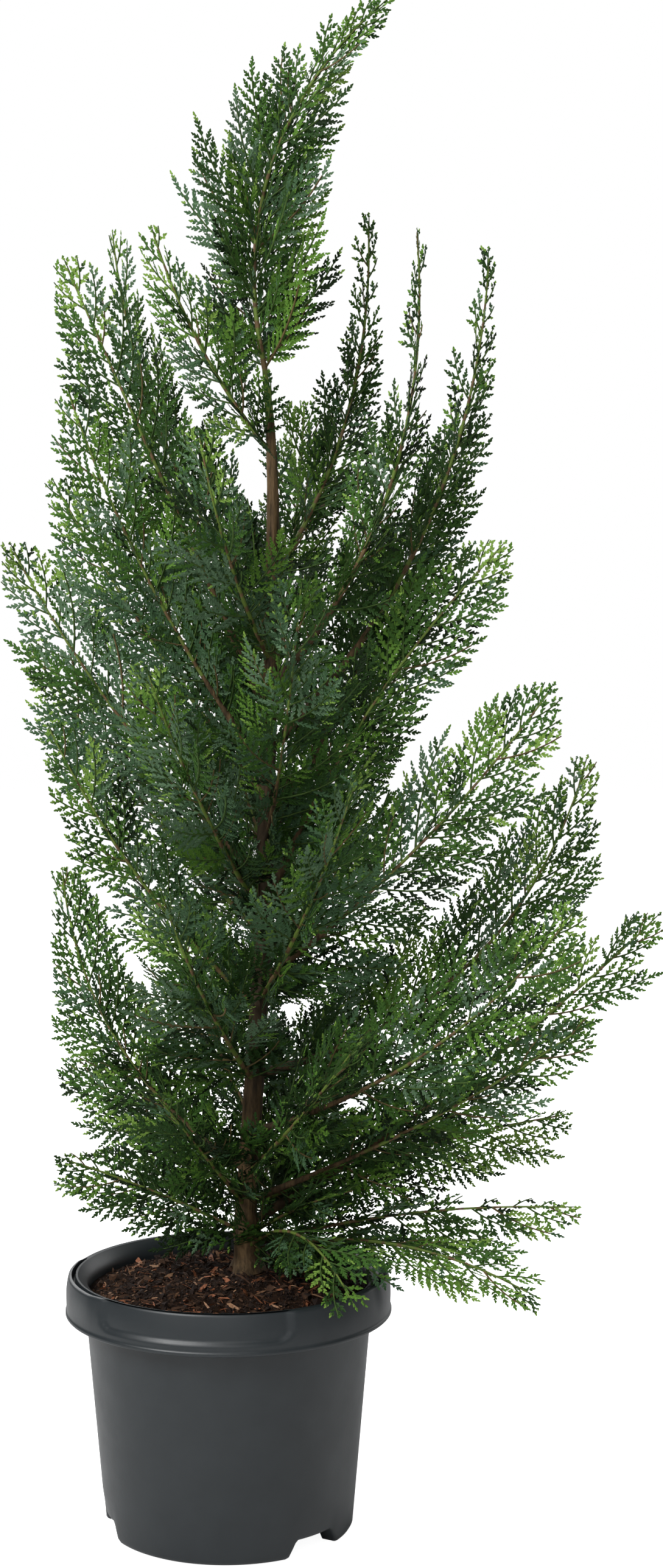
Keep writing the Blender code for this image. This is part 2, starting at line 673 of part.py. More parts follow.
def grow_blades(limb, own, others, woods, dice):
    """Tries each planned blade, shorter or turned where it must be, and keeps what fits."""
    blades = []
    trees = []
    for root, along, side, turn, angle, size in blade_plans(limb, dice):
        tip_room = (limb_curve(limb)(1.0) - root).length
        trials = [(tip_room, 0.0)] if size is None else [
            (size * share, math.radians(extra)) for share in LENGTH_TRIALS for extra in TURN_TRIALS]
        for length, extra in trials:
            out = Matrix.Rotation(turn + extra, 3, along) @ side
            direction = (along * math.cos(angle) + out * math.sin(angle)).normalized()
            normal = (along.cross(out) if size is None else direction.cross(along)).normalized()
            if size is not None and length < BLADE_MIN_LENGTH:
                continue
            bm = blade_bmesh(root, direction, normal, length)
            spots = np.array([tuple(vert.co) for vert in bm.verts]
                             + [tuple(face.calc_center_median()) for face in bm.faces])
            fits = clears_pot(spots) and stays_in_reach(limb, own, spots)
            if fits:
                away = distance_to_lines(spots, others) - distance_to_lines(spots, own)
                fits = bool(np.all(away > OWN_SPACE))
            tree = BVHTree.FromBMesh(bm)
            if fits and clears_woods(bm, tree, woods) and not any(map(tree.overlap, trees)):
                blades.append(bm)
                trees.append(tree)
                break
            bm.free()
    return blades


def clears_woods(bm, tree, woods):
    """True where a blade neither crosses nor nearly touches the trunk or a bough."""
    for wood in woods:
        if tree.overlap(wood):
            return False
        for vert in bm.verts:
            if wood.find_nearest(vert.co, LIMB_CLEARANCE)[0] is not None:
                return False
    return True


def add_blades(limb, blades):
    """Puts a mass's blades in a collection of their own."""
    group = bpy.data.collections.new("blades_" + limb.name)
    bpy.context.scene.collection.children.link(group)
    for index, bm in enumerate(blades):
        bmesh.ops.recalc_face_normals(bm, faces=bm.faces)
        mesh = bpy.data.meshes.new("blade")
        bm.to_mesh(mesh)
        bm.free()
        group.objects.link(bpy.data.objects.new("blade_%02d" % index, mesh))
    return group


def build_foliage(limb, others, woods, cutter):
    """One mass of foliage: its stem and every blade that fits, fused in a single union."""
    first = stem_start(limb)
    shares = [first + (STEM_END - first) * ring / (STEM_RINGS - 1) for ring in range(STEM_RINGS)]
    radii = [STEM_FOOT_RADIUS + (STEM_TIP_RADIUS - STEM_FOOT_RADIUS) * ring / (STEM_RINGS - 1)
             for ring in range(STEM_RINGS)]
    mass = add_object("foliage_" + limb.name, tube(limb_curve(limb), shares, radii, 3))
    own = pieces_of(stem_points(limb, LINE_POINTS))
    for growth in range(GROWTHS):
        dice = random.Random(SEED + int(limb.tip * MILLIMETRES) + growth)
        group = add_blades(limb, grow_blades(limb, own, others, woods, dice))
        joined = fuse(mass, "UNION", group)
        while growth == GROWTHS - 1 and not joined:
            bpy.data.objects.remove(group.objects[-1], do_unlink=True)
            joined = fuse(mass, "UNION", group)
        for blade in list(group.objects):
            bpy.data.objects.remove(blade, do_unlink=True)
        bpy.data.collections.remove(group)
        if joined:
            break
    if not limb.bough and limb is not LEADER:
        fuse(mass, "DIFFERENCE", cutter)
    return mass


def build_plant():
    """Trunk, then every bough, then every mass in the space that is left to it."""
    trunk = build_trunk()
    dress(trunk, BARK_FINISH)
    cutter = add_trunk_cutter()
    boughs = [build_bough(limb, cutter) for limb in LIMBS if limb.bough]
    for bough in boughs:
        dress(bough, BARK_FINISH)
    depsgraph = bpy.context.evaluated_depsgraph_get()
    woods = [BVHTree.FromObject(wood, depsgraph) for wood in [trunk] + boughs]
    limbs = (LEADER,) + LIMBS
    for limb in limbs:
        lines = [pieces_of(stem_points(other, LINE_POINTS)) for other in limbs if other is not limb]
        others = (np.concatenate([line[0] for line in lines]),
                  np.concatenate([line[1] for line in lines]))
        dress(build_foliage(limb, others, woods, cutter), FOLIAGE_FINISH)
    bpy.data.objects.remove(cutter, do_unlink=True)


def main():
    """Builds the whole part."""
    clear_scene()
    dress(build_pot(), POT_FINISH)
    dress(build_soil(), SOIL_FINISH)
    build_plant()


main()
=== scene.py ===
"""Potted Lawson cypress: finished pot, peat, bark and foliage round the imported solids.

Metres, +Z up. The origin is on the pot's axis at the ground, and -Y faces the viewer.
Trunk, boughs and sprays follow the same stations and limbs as the solids do.
"""
import logging
import math
from dataclasses import dataclass, field, fields, replace
from enum import Enum
from typing import Callable, Sequence

import bmesh
import bpy
import numpy as np
from bmesh.types import BMEdge, BMesh, BMVert
from bpy.types import Material, Mesh, Node, NodeSocket, NodeTree, Object
from mathutils import Matrix, Vector, noise


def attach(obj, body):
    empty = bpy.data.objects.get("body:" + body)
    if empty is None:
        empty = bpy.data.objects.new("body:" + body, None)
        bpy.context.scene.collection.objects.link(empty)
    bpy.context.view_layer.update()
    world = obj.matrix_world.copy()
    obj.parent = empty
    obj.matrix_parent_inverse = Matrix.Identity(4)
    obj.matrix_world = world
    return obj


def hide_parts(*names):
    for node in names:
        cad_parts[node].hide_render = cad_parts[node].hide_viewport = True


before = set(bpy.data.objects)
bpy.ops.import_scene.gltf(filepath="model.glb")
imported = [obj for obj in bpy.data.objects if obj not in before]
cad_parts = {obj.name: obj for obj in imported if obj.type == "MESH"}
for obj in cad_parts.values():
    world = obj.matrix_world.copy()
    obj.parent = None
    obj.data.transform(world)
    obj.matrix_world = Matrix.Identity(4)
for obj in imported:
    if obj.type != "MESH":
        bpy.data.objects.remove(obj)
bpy.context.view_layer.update()        # the imported part's nodes, each a mesh set in world space

LOG = logging.getLogger("potted_cypress")
BODY = "root"
SEED = 41
FRONT = -90.0            # direction of the viewer about the pot's axis, degrees from +X
MERGE_DISTANCE = 0.00001
UP = Vector((0, 0, 1))
BACK = Vector((0, 1, 0))
Colour = tuple[float, float, float]
Curve = Callable[[float], Vector]
Place = Vector | np.ndarray
Inputs = dict[str | int, object]


# Meshes

def smooth_step(value: float, low: float, high: float) -> float:
    """Eases from 0 at low to 1 at high."""
    share = min(max((value - low) / (high - low), 0.0), 1.0)
    return share * share * (3 - 2 * share)


def unit(rows: np.ndarray) -> np.ndarray:
    """Each row scaled to length 1."""
    return rows / np.linalg.norm(rows, axis=-1, keepdims=True)


def bent_line(start: Place, middle: Place, end: Place, share: float | np.ndarray) -> Place:
    """Place on the line from start to end that the middle point draws towards itself."""
    return start * (1 - share) ** 2 + middle * 2 * share * (1 - share) + end * share ** 2


def stacked(kind: type, parts: Sequence) -> object:
    """Several sets of arrays, all of one dataclass, as one set."""
    return kind(*(np.concatenate([getattr(part, item.name) for part in parts]) for item in fields(kind)))


def add_piece(name: str, mesh: Mesh) -> Object:
    """Links a mesh to the scene as a piece of that name."""
    obj = bpy.data.objects.new(name, mesh)
    bpy.context.scene.collection.objects.link(obj)
    return obj


def piece_from_bmesh(name: str, bm: BMesh, sharp_angle: float = 180.0) -> Object:
    """Makes a smooth-shaded piece of a bmesh.

    Args:
        name: the piece's name.
        bm: the finished shape, which is freed.
        sharp_angle: degrees past which an edge stays sharp.

    Returns:
        The new object.
    """
    mesh = bpy.data.meshes.new(name)
    bm.to_mesh(mesh)
    bm.free()
    mesh.shade_smooth()
    mesh.set_sharp_from_angle(angle=math.radians(sharp_angle))
    return add_piece(name, mesh)


def spun(profile: Sequence[tuple[float, float]], turns: int) -> BMesh:
    """Turns a profile of radius and height pairs round the pot's axis into a closed shape."""
    bm = bmesh.new()
    verts = [bm.verts.new((radius, 0, height)) for radius, height in profile]
    edges = [bm.edges.new(pair) for pair in zip(verts, verts[1:])]
    bmesh.ops.spin(bm, geom=verts + edges, cent=(0, 0, 0), axis=(0, 0, 1), angle=math.tau,
                   steps=turns, use_merge=True)
    bmesh.ops.remove_doubles(bm, verts=bm.verts, dist=MERGE_DISTANCE)
    return bm


@dataclass
class Clump:
    """Many small shapes gathered as arrays and joined into one mesh."""
    points: list[np.ndarray] = field(default_factory=list)
    polygons: list[np.ndarray] = field(default_factory=list)
    slots: list[np.ndarray] = field(default_factory=list)
    count: int = 0

    def add(self, points: np.ndarray, kinds: Sequence[tuple[np.ndarray, np.ndarray]]) -> None:
        """Adds copies of one shape.

        Args:
            points: corners, as copies by corners by 3.
            kinds: pairs of faces, as corner numbers within one copy, and of their
                material slots, as copies by faces; one pair for each number of sides.
        """
        copies, corners = points.shape[:2]
        offsets = self.count + corners * np.arange(copies)
        self.points.append(points.reshape(-1, 3))
        for faces, slots in kinds:
            self.polygons.append((faces[None] + offsets[:, None, None]).reshape(-1, faces.shape[1]))
            self.slots.append(np.broadcast_to(slots, (copies, len(faces))).reshape(-1))
        self.count += copies * corners

    def build(self, name: str, smooth: bool = False) -> Object:
        """Joins everything gathered into one piece."""
        mesh = bpy.data.meshes.new(name)
        points = np.concatenate(self.points)
        totals = np.concatenate([np.full(len(faces), faces.shape[1]) for faces in self.polygons])
        corners = np.concatenate([faces.reshape(-1) for faces in self.polygons])
        mesh.vertices.add(len(points))
        mesh.vertices.foreach_set("co", points.astype(np.float32).reshape(-1))
        mesh.loops.add(len(corners))
        mesh.loops.foreach_set("vertex_index", corners.astype(np.int32))
        mesh.polygons.add(len(totals))
        mesh.polygons.foreach_set("loop_start", (np.cumsum(totals) - totals).astype(np.int32))
        mesh.polygons.foreach_set("material_index", np.concatenate(self.slots).astype(np.int32))
        mesh.update(calc_edges=True)
        (mesh.shade_smooth if smooth else mesh.shade_flat)()
        return add_piece(name, mesh)


@dataclass
class LimbTube:
    """A closed tube extruded ring by ring along a line."""
    sides: int

    def grow(self, bm: BMesh, path: Sequence[Vector], radii: Sequence[float],
             level: bool = False) -> list[list[BMVert]]:
        """Extrudes the tube into a bmesh.

        Args:
            bm: the bmesh that takes the tube.
            path: centre of each ring, foot first.
            radii: radius at each ring.
            level: true where every ring lies level, so that the foot is cut flat.

        Returns:
            The vertices of each ring, foot first.
        """
        frames = self.frames(path, radii, level)
        foot = bmesh.ops.create_circle(bm, cap_ends=True, segments=self.sides, radius=1.0, matrix=frames[0])
        rings = [foot["verts"]]
        edges = list({edge for vert in foot["verts"] for edge in vert.link_edges})
        for before, after in zip(frames, frames[1:]):
            grown = bmesh.ops.extrude_edge_only(bm, edges=edges)["geom"]
            verts = [item for item in grown if isinstance(item, BMVert)]
            edges = [item for item in grown if isinstance(item, BMEdge)]
            bmesh.ops.transform(bm, matrix=after @ before.inverted(), verts=verts)
            rings.append(verts)
        bmesh.ops.contextual_create(bm, geom=edges)
        return rings

    def frames(self, path: Sequence[Vector], radii: Sequence[float], level: bool) -> list[Matrix]:
        """Place, turn and size of each ring."""
        across = Vector((1, 0, 0)) if level else Vector((0, 1, 0))
        frames = []
        for index, point in enumerate(path):
            along = UP
            if not level:
                along = (path[min(index + 1, len(path) - 1)] - path[max(index - 1, 0)]).normalized()
            across = (across - along * across.dot(along)).normalized()
            turned = Matrix((across, along.cross(across), along)).transposed().to_4x4()
            frames.append(Matrix.Translation(point) @ turned @ Matrix.Scale(radii[index], 4))
        return frames


# Finishes

@dataclass(frozen=True)
class Socket:
    """One named input or output of an effect group."""
    name: str
    kind: str
    default: float | tuple = 0.0


def live_socket(sockets: Sequence[NodeSocket], name: str) -> NodeSocket:
    """The socket of that name which the node's data type leaves in use."""
    return next(socket for socket in sockets if socket.name == name and socket.enabled)


class Graph:
    """A node tree whose nodes are added with their options and inputs in one go."""

    def __init__(self, tree: NodeTree) -> None:
        """Keeps the tree that takes the nodes."""
        self.tree = tree

    def feed(self, node: Node, inputs: Inputs) -> None:
        """Sets a node's inputs, by name or number, to values or joins them to other nodes' sockets."""
        for key, value in inputs.items():
            socket = node.inputs[key] if isinstance(key, int) else live_socket(node.inputs, key)
            if isinstance(value, NodeSocket):
                self.tree.links.new(value, socket)
            else:
                socket.default_value = value

    def node(self, kind: str, inputs: Inputs, **options: object) -> Node:
        """Adds a node.

        Args:
            kind: what it is, without the beginning that all shader nodes' types share.
            inputs: values or sockets for its inputs.
            options: its own settings.

        Returns:
            The node.
        """
        made = self.tree.nodes.new("ShaderNode" + kind)
        for key, value in options.items():
            setattr(made, key, value)
        self.feed(made, inputs)
        return made

    def mixed(self, factor: NodeSocket, first: object, second: object) -> NodeSocket:
        """A colour between two others."""
        mix = self.node("Mix", {}, data_type="RGBA")
        self.feed(mix, {"Factor": factor, "A": first, "B": second})
        return live_socket(mix.outputs, "Result")


class EffectGroup(Graph):
    """A shader node group with named inputs and outputs, built once and placed in many materials."""

    def __init__(self, name: str, inputs: Sequence[Socket], outputs: Sequence[Socket]) -> None:
        """Makes the group's sockets and its two end nodes."""
        super().__init__(bpy.data.node_groups.new(name, "ShaderNodeTree"))
        for way, sockets in (("INPUT", inputs), ("OUTPUT", outputs)):
            for socket in sockets:
                made = self.tree.interface.new_socket(socket.name, in_out=way, socket_type=socket.kind)
                if socket.default:
                    made.default_value = socket.default
        self.start = self.tree.nodes.new("NodeGroupInput").outputs
        self.end = self.tree.nodes.new("NodeGroupOutput")


def mottle_group() -> None:
    """Two colours that run into each other in soft patches: Color and Mask out."""
    group = EffectGroup(
        "mottle",
        (Socket("Coordinates", "NodeSocketVector"), Socket("Scale", "NodeSocketFloat", 100.0),
         Socket("Contrast", "NodeSocketFloat", 1.0), Socket("Dark", "NodeSocketColor", (0.1, 0.1, 0.1, 1)),
         Socket("Light", "NodeSocketColor", (0.5, 0.5, 0.5, 1))),
        (Socket("Color", "NodeSocketColor"), Socket("Mask", "NodeSocketFloat")))
    patches = group.node("TexNoise", {"Vector": group.start["Coordinates"], "Scale": group.start["Scale"],
                                      "Detail": 6.0, "Roughness": 0.6})
    centred = group.node("Math", {0: patches.outputs["Fac"], 1: 0.5}, operation="SUBTRACT")
    spread = group.node("Math", {0: centred.outputs[0], 1: group.start["Contrast"], 2: 0.5},
                        operation="MULTIPLY_ADD", use_clamp=True)
    colour = group.mixed(spread.outputs[0], group.start["Dark"], group.start["Light"])
    group.feed(group.end, {"Color": colour, "Mask": spread.outputs[0]})


def grain_group() -> None:
    """Fine raised grain over broader unevenness: Height out, for a bump."""
    group = EffectGroup(
        "grain",
        (Socket("Coordinates", "NodeSocketVector"), Socket("Fine Scale", "NodeSocketFloat", 2000.0),
         Socket("Broad Scale", "NodeSocketFloat", 200.0)),
        (Socket("Height", "NodeSocketFloat"),))
    fine, broad = (group.node("TexNoise", {"Vector": group.start["Coordinates"], "Scale": group.start[name],
                                           "Detail": 3.0}).outputs["Fac"]
                   for name in ("Fine Scale", "Broad Scale"))
    total = group.node("Math", {0: fine, 1: 0.5, 2: broad}, operation="MULTIPLY_ADD")
    group.feed(group.end, {"Height": total.outputs[0]})


@dataclass(frozen=True)
class Finish:
    """A mottled, grained surface; the values are what the real one shows."""
    name: str
    dark: Colour
    light: Colour
    roughness: float
    patch_scale: float
    contrast: float = 2.0
    stretch: tuple[float, float, float] = (1.0, 1.0, 1.0)
    fine_scale: float = 2000.0
    broad_scale: float = 200.0
    relief: float = 0.0002       # metres of bump
    relief_strength: float = 0.4
    roughness_swing: float = 0.12
    specular: float = 0.5

    def material(self) -> Material:
        """Builds the material with its nodes."""
        material = bpy.data.materials.new(self.name)
        material.use_nodes = True
        graph = Graph(material.node_tree)
        groups = bpy.data.node_groups
        spot = graph.node("TexCoord", {}).outputs["Object"]
        stretched = graph.node("Mapping", {"Vector": spot, "Scale": self.stretch}).outputs["Vector"]
        mottle = graph.node("Group", {}, node_tree=groups["mottle"])
        graph.feed(mottle, {"Coordinates": stretched, "Scale": self.patch_scale, "Contrast": self.contrast,
                            "Dark": (*self.dark, 1), "Light": (*self.light, 1)})
        gloss = graph.node("MapRange", {"Value": mottle.outputs["Mask"],
                                        "To Min": self.roughness + self.roughness_swing / 2,
                                        "To Max": self.roughness - self.roughness_swing / 2})
        grain = graph.node("Group", {}, node_tree=groups["grain"])
        graph.feed(grain, {"Coordinates": stretched, "Fine Scale": self.fine_scale,
                           "Broad Scale": self.broad_scale})
        bump = graph.node("Bump", {"Height": grain.outputs["Height"], "Distance": self.relief,
                                   "Strength": self.relief_strength})
        graph.feed(graph.tree.nodes["Principled BSDF"], {
            "Base Color": self.tinted(graph, spot, mottle.outputs["Color"]),
            "Roughness": gloss.outputs["Result"], "Specular IOR Level": self.specular,
            "Normal": bump.outputs["Normal"]})
        return material

    def tinted(self, graph: Graph, spot: NodeSocket, colour: NodeSocket) -> NodeSocket:
        """Lets a kind of finish change the mottled colour; the plain one leaves it."""
        return colour


@dataclass(frozen=True)
class WoodFinish(Finish):
    """Bark that turns to green skin where the wood is young, and darkens where its age value passes 1:
    painted shade on the trunk's middle, and darker feet on the boughs.
    """
    green: Colour = (0.12, 0.16, 0.03)
    # the darkest bark: painted shade on the trunk's middle, and the dark feet of the boughs
    old: Colour = (0.020, 0.014, 0.007)
    darkest_share: float = 0.75          # how far the darkest colour is mixed in where the age value reaches 2
    band_scale: float = 70.0
    ragged: float = 0.9              # how far noise moves the edge of the green skin
    green_edge: tuple[float, float] = (0.85, 1.05)

    def tinted(self, graph: Graph, spot: NodeSocket, colour: NodeSocket) -> NodeSocket:
        """Darkens the bark with painted shade on the trunk's middle and towards the boughs' feet, and mixes
        in the green skin of the youngest wood, with a ragged edge.
        """
        age = graph.node("Attribute", {}, attribute_name="age").outputs["Fac"]
        darkening = graph.node("MapRange", {"Value": age, "From Min": 1.0, "From Max": 2.0,
                                         "To Max": self.darkest_share})
        darker = graph.mixed(darkening.outputs["Result"], colour, (*self.old, 1))
        bands = graph.node("TexNoise", {"Vector": spot, "Scale": self.band_scale, "Detail": 2.0})
        ragged = graph.node("Math", {0: bands.outputs["Fac"], 1: self.ragged, 2: age},
                            operation="MULTIPLY_ADD")
        edge = graph.node("MapRange", {"Value": ragged.outputs[0], "From Min": self.green_edge[0],
                                       "From Max": self.green_edge[1]})
        return graph.mixed(edge.outputs["Result"], (*self.green, 1), darker)


POT_PLASTIC = Finish(
    "pot_plastic", (0.0115, 0.0155, 0.0177), (0.0170, 0.022, 0.0250), roughness=0.41, patch_scale=45.0,
    contrast=1.5, fine_scale=2600.0, broad_scale=500.0, relief=0.00012, relief_strength=0.35,
    roughness_swing=0.10, specular=0.52)
PEAT = Finish(
    "peat", (0.005, 0.0026, 0.0016), (0.028, 0.014, 0.008), roughness=0.92, patch_scale=260.0,
    contrast=3.0, fine_scale=1400.0, broad_scale=420.0, relief=0.0018, relief_strength=1.0, specular=0.10)
CRUMB_DARK = Finish(
    "crumb_dark", (0.006, 0.003, 0.002), (0.022, 0.011, 0.007), roughness=0.88, patch_scale=500.0,
    relief=0.0006, relief_strength=0.7, specular=0.3)
CRUMB_BROWN = replace(CRUMB_DARK, name="crumb_brown", dark=(0.022, 0.010, 0.005),
                      light=(0.078, 0.037, 0.018), roughness=0.85, patch_scale=400.0)
SLIVER_RED = Finish(
    "sliver_red", (0.110, 0.034, 0.014), (0.330, 0.120, 0.050), roughness=0.72, patch_scale=500.0,
    relief=0.0004, relief_strength=0.6, specular=0.4)
SLIVER_PALE = replace(SLIVER_RED, name="sliver_pale", dark=(0.150, 0.075, 0.036),
                      light=(0.400, 0.220, 0.120), roughness=0.70)
BARK = WoodFinish(
    "bark", (0.022, 0.014, 0.006), (0.150, 0.092, 0.040), roughness=0.78, patch_scale=260.0,
    contrast=3.0, stretch=(1.0, 1.0, 0.16), specular=0.3, fine_scale=1500.0, broad_scale=500.0,
    relief=0.0010, relief_strength=0.8, green=(0.115, 0.150, 0.030))
TWIG_SKIN = WoodFinish(
    "twig_skin", (0.062, 0.036, 0.016), (0.175, 0.112, 0.050), roughness=0.66, patch_scale=300.0,
    contrast=2.4, stretch=(1.0, 1.0, 0.5), fine_scale=1500.0, broad_scale=500.0, relief=0.0004,
    relief_strength=0.5, green=(0.110, 0.165, 0.026), band_scale=110.0, specular=0.3)
RACHIS_GREEN = Finish(
    "rachis_green", (0.022, 0.052, 0.010), (0.070, 0.120, 0.026), roughness=0.68, patch_scale=260.0,
    relief=0.0003, relief_strength=0.4, specular=0.2)
RACHIS_BROWN = replace(RACHIS_GREEN, name="rachis_brown", dark=(0.060, 0.046, 0.018),
                       light=(0.150, 0.110, 0.042), roughness=0.70)
FLOOR_PAPER = Finish(
    "floor_paper", (0.80, 0.80, 0.80), (0.84, 0.84, 0.84), roughness=0.90, patch_scale=3.0,
    contrast=1.0, relief=0.0001, relief_strength=0.1, specular=0.1)


class Tint(Enum):
    """Colours of the scale leaves, each a slot of the foliage's pieces; SHADE is painted shade, and DEEP is
    a dark green that also serves as painted shade.
    """
    SHADE = 0
    DEEP = 1
    BLOOM = 2
    GLAUCOUS = 3
    LEAF = 4
    FRESH = 5
    TIP = 6


@dataclass(frozen=True)
class ScaleLeaf:
    """The leaves' skin in one colour, finely mottled alike all over."""
    tint: Tint
    colour: Colour
    roughness: float = 0.62
    lift: float = 1.25           # the lighter colour of the mottling against the plain one

    def finish(self) -> Finish:
        """The finish that this colour makes."""
        light = tuple(min(value * self.lift, 1.0) for value in self.colour)
        return Finish("leaf_" + self.tint.name.lower(), self.colour, light, self.roughness,
                      patch_scale=420.0, contrast=2.0, fine_scale=1800.0, broad_scale=700.0,
                      relief=0.0004, relief_strength=0.5, specular=0.16)


SCALE_LEAVES = (
    # SHADE: painted shade, the near-black of leaves deep inside the crown
    ScaleLeaf(Tint.SHADE, (0.007, 0.017, 0.004)),
    ScaleLeaf(Tint.DEEP, (0.019, 0.049, 0.010)),
    ScaleLeaf(Tint.BLOOM, (0.080, 0.140, 0.074), roughness=0.75),
    ScaleLeaf(Tint.GLAUCOUS, (0.046, 0.096, 0.043), roughness=0.72),
    ScaleLeaf(Tint.LEAF, (0.038, 0.096, 0.015)),
    ScaleLeaf(Tint.FRESH, (0.078, 0.168, 0.022)),
    ScaleLeaf(Tint.TIP, (0.150, 0.255, 0.045)),
)


# Pot

@dataclass
class Pot:
    """The nursery pot: one turned profile, into which grips, panel and notches are then worked."""
    height: float = 0.190
    foot_radius: float = 0.0916
    flare: float = 0.085             # outward slope of the wall
    wall: float = 0.0028
    collar_bottom: float = 0.161
    collar_radius: float = 0.1204
    collar_top_radius: float = 0.1165
    collar_skin: float = 0.0024
    bead: float = 0.0032             # height of the thicker band at the collar's lower edge
    bulge: float = 0.0007            # of the collar's face
    shoulder: float = 0.0022         # radius of the collar's rounded top edge
    rim_inner_radius: float = 0.1106
    rim_width: float = 0.0020
    slot_width: float = 0.00125      # of the gap behind a grip, outside the rim
    floor_lift: float = 0.011
    foot_band: float = 0.012
    hub_radius: float = 0.030
    turns: int = 216                 # steps of the full turn
    notch_turns: tuple[float, ...] = (-45.0, -165.0, 75.0)
    notch_height: float = 0.0125
    notch_half_angle: float = 13.0
    notch_slope_angle: float = 6.0
    foot_zone: float = 0.030         # the wall's lowest part, which the notches squeeze
    grip_spans: tuple[tuple[float, float], ...] = ((-108.0, -51.0), (66.0, 122.0))
    grip_ease: float = 5.0           # degrees over which a grip's gap opens
    grip_depth: float = 0.016
    grip_stand_off: float = 0.0018
    panel_middle: float = -12.0      # the shallow panel, in degrees from the viewer towards +X
    panel_half_angle: float = 37.0
    panel_bottom: float = 0.1685
    panel_corner: float = 0.013
    panel_depth: float = 0.0020
    panel_ease: float = 0.0028

    def wall_radius(self, height: float) -> float:
        """Outer radius of the wall at a height."""
        return self.foot_radius + self.flare * height

    def collar_surface(self, share: float) -> tuple[float, float]:
        """A point of the collar's outer face, from its bead at 0 to its shoulder at 1."""
        low = self.collar_bottom + self.bead
        high = self.height - self.shoulder
        slope = self.collar_top_radius - self.collar_radius + self.bulge
        radius = self.collar_radius - self.bulge + slope * share
        return radius + self.bulge * math.sin(math.pi * share), low + (high - low) * share

    def profile(self) -> list[tuple[float, float]]:
        """Radius and height pairs from the middle of the underside to the middle of the floor."""
        foot = self.foot_radius
        foot_inner = foot - self.foot_band
        hub = self.hub_radius
        points = [(0, 0), (hub, 0), (hub + self.wall, self.floor_lift),
                  (foot_inner - self.wall, self.floor_lift), (foot_inner, 0.0005),
                  (foot_inner + 0.0006, 0), (foot - 0.0025, 0), (foot - 0.0008, 0.0008)]
        rows = [0.0025, 0.005, 0.008, 0.012, 0.017, 0.023] + [0.03 + 0.008 * step for step in range(19)]
        points += [(self.wall_radius(height), height) for height in rows]
        cavity_top = self.height - 2 * self.wall
        neck = self.wall_radius(cavity_top)
        top = self.collar_top_radius
        low = self.collar_bottom
        skirt = self.collar_radius
        skirt_inner = skirt - self.collar_skin
        top_inner = top - self.collar_skin
        bead_top = low + self.bead
        points += [(neck, cavity_top - 0.001), (neck + 0.0008, cavity_top), (top_inner - 0.0006, cavity_top),
                   (top_inner, cavity_top - 0.001), (skirt_inner, low + 0.0004), (skirt_inner + 0.0005, low),
                   (skirt - 0.0006, low), (skirt, low + 0.0006), (skirt, bead_top - 0.0009),
                   (skirt - 0.0004, bead_top - 0.0004)]
        points += [self.collar_surface(step / 16) for step in range(17)]
        for angle in (math.pi / 6, math.pi / 3, math.pi / 2):
            points.append((top - self.shoulder * (1 - math.cos(angle)),
                           self.height - self.shoulder + self.shoulder * math.sin(angle)))
        slot = self.rim_inner_radius + self.rim_width
        points += [(out, self.height) for out in (slot + 0.0013, slot + 0.0012, slot + 0.0002, slot,
                                                  slot - 0.0006, self.rim_inner_radius + 0.0005)]
        points.append((self.rim_inner_radius, self.height - 0.0006))
        floor_top = self.floor_lift + self.wall
        points += [(min(self.wall_radius(height) - self.wall, self.rim_inner_radius), height)
                   for height in (0.185, 0.178, 0.165, 0.14, 0.11, 0.07, 0.03, floor_top)]
        return points + [(0, floor_top)]

    def shaped(self, spot: Vector) -> Vector:
        """Where a point of the turned pot goes once grips, panel and notches are worked in."""
        out = math.hypot(spot.x, spot.y)
        if out < self.hub_radius * 1.2:
            return spot
        turn = math.degrees(math.atan2(spot.y, spot.x))
        radius = out
        height = spot.z
        from_front = (turn - FRONT + 180) % 360 - 180
        grip = max(smooth_step(from_front, low, low + self.grip_ease)
                   * smooth_step(-from_front, -high, self.grip_ease - high)
                   for low, high in self.grip_spans)
        rim_outer = self.rim_inner_radius + self.rim_width
        if rim_outer < out < rim_outer + self.slot_width and height > self.height - 0.0001:
            height -= self.grip_depth * grip
        if out > rim_outer + 0.0001 and height > self.collar_bottom + self.bead:
            lift = smooth_step(spot.z, self.collar_bottom + self.bead, self.height - 0.004)
            radius += self.grip_stand_off * grip * lift
        radius -= self.panel_depth * self.panel_share(from_front, out, spot.z)
        height = self.raised_foot(turn, height, out)
        return Vector((spot.x * radius / out, spot.y * radius / out, height))

    def panel_share(self, from_front: float, out: float, height: float) -> float:
        """How far into the shallow panel a point of the collar lies, from 0 to 1."""
        if out < self.rim_inner_radius + 0.0035 or height < self.collar_bottom + self.bead:
            return 0.0
        along = abs(math.radians(from_front - self.panel_middle)) * out
        half_width = math.radians(self.panel_half_angle) * out - self.panel_corner
        side = along - half_width
        down = self.panel_bottom + self.panel_corner - height
        away = math.hypot(max(side, 0.0), max(down, 0.0)) + min(max(side, down), 0.0) - self.panel_corner
        return smooth_step(-away, 0.0, self.panel_ease)

    def raised_foot(self, turn: float, height: float, out: float) -> float:
        """Height of a point of the foot band, lifted where a notch is cut."""
        if height > self.foot_zone or out < self.foot_radius - self.foot_band - self.wall:
            return height
        away = min(abs((turn - notch + 180) % 360 - 180) for notch in self.notch_turns)
        share = smooth_step(-away, -self.notch_half_angle - self.notch_slope_angle / 2,
                            self.notch_slope_angle / 2 - self.notch_half_angle)
        raised = self.notch_height * share
        return raised + height * (self.foot_zone - raised) / self.foot_zone

    def build(self) -> Object:
        """Spins the profile, works in the details and dresses the pot."""
        bm = spun(self.profile(), self.turns)
        for vert in bm.verts:
            vert.co = self.shaped(vert.co)
        bmesh.ops.recalc_face_normals(bm, faces=bm.faces)
        pot = piece_from_bmesh("pot_shell", bm, sharp_angle=50.0)
        pot.data.materials.append(POT_PLASTIC.material())
        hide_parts("pot")
        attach(pot, BODY)
        return pot


# Soil

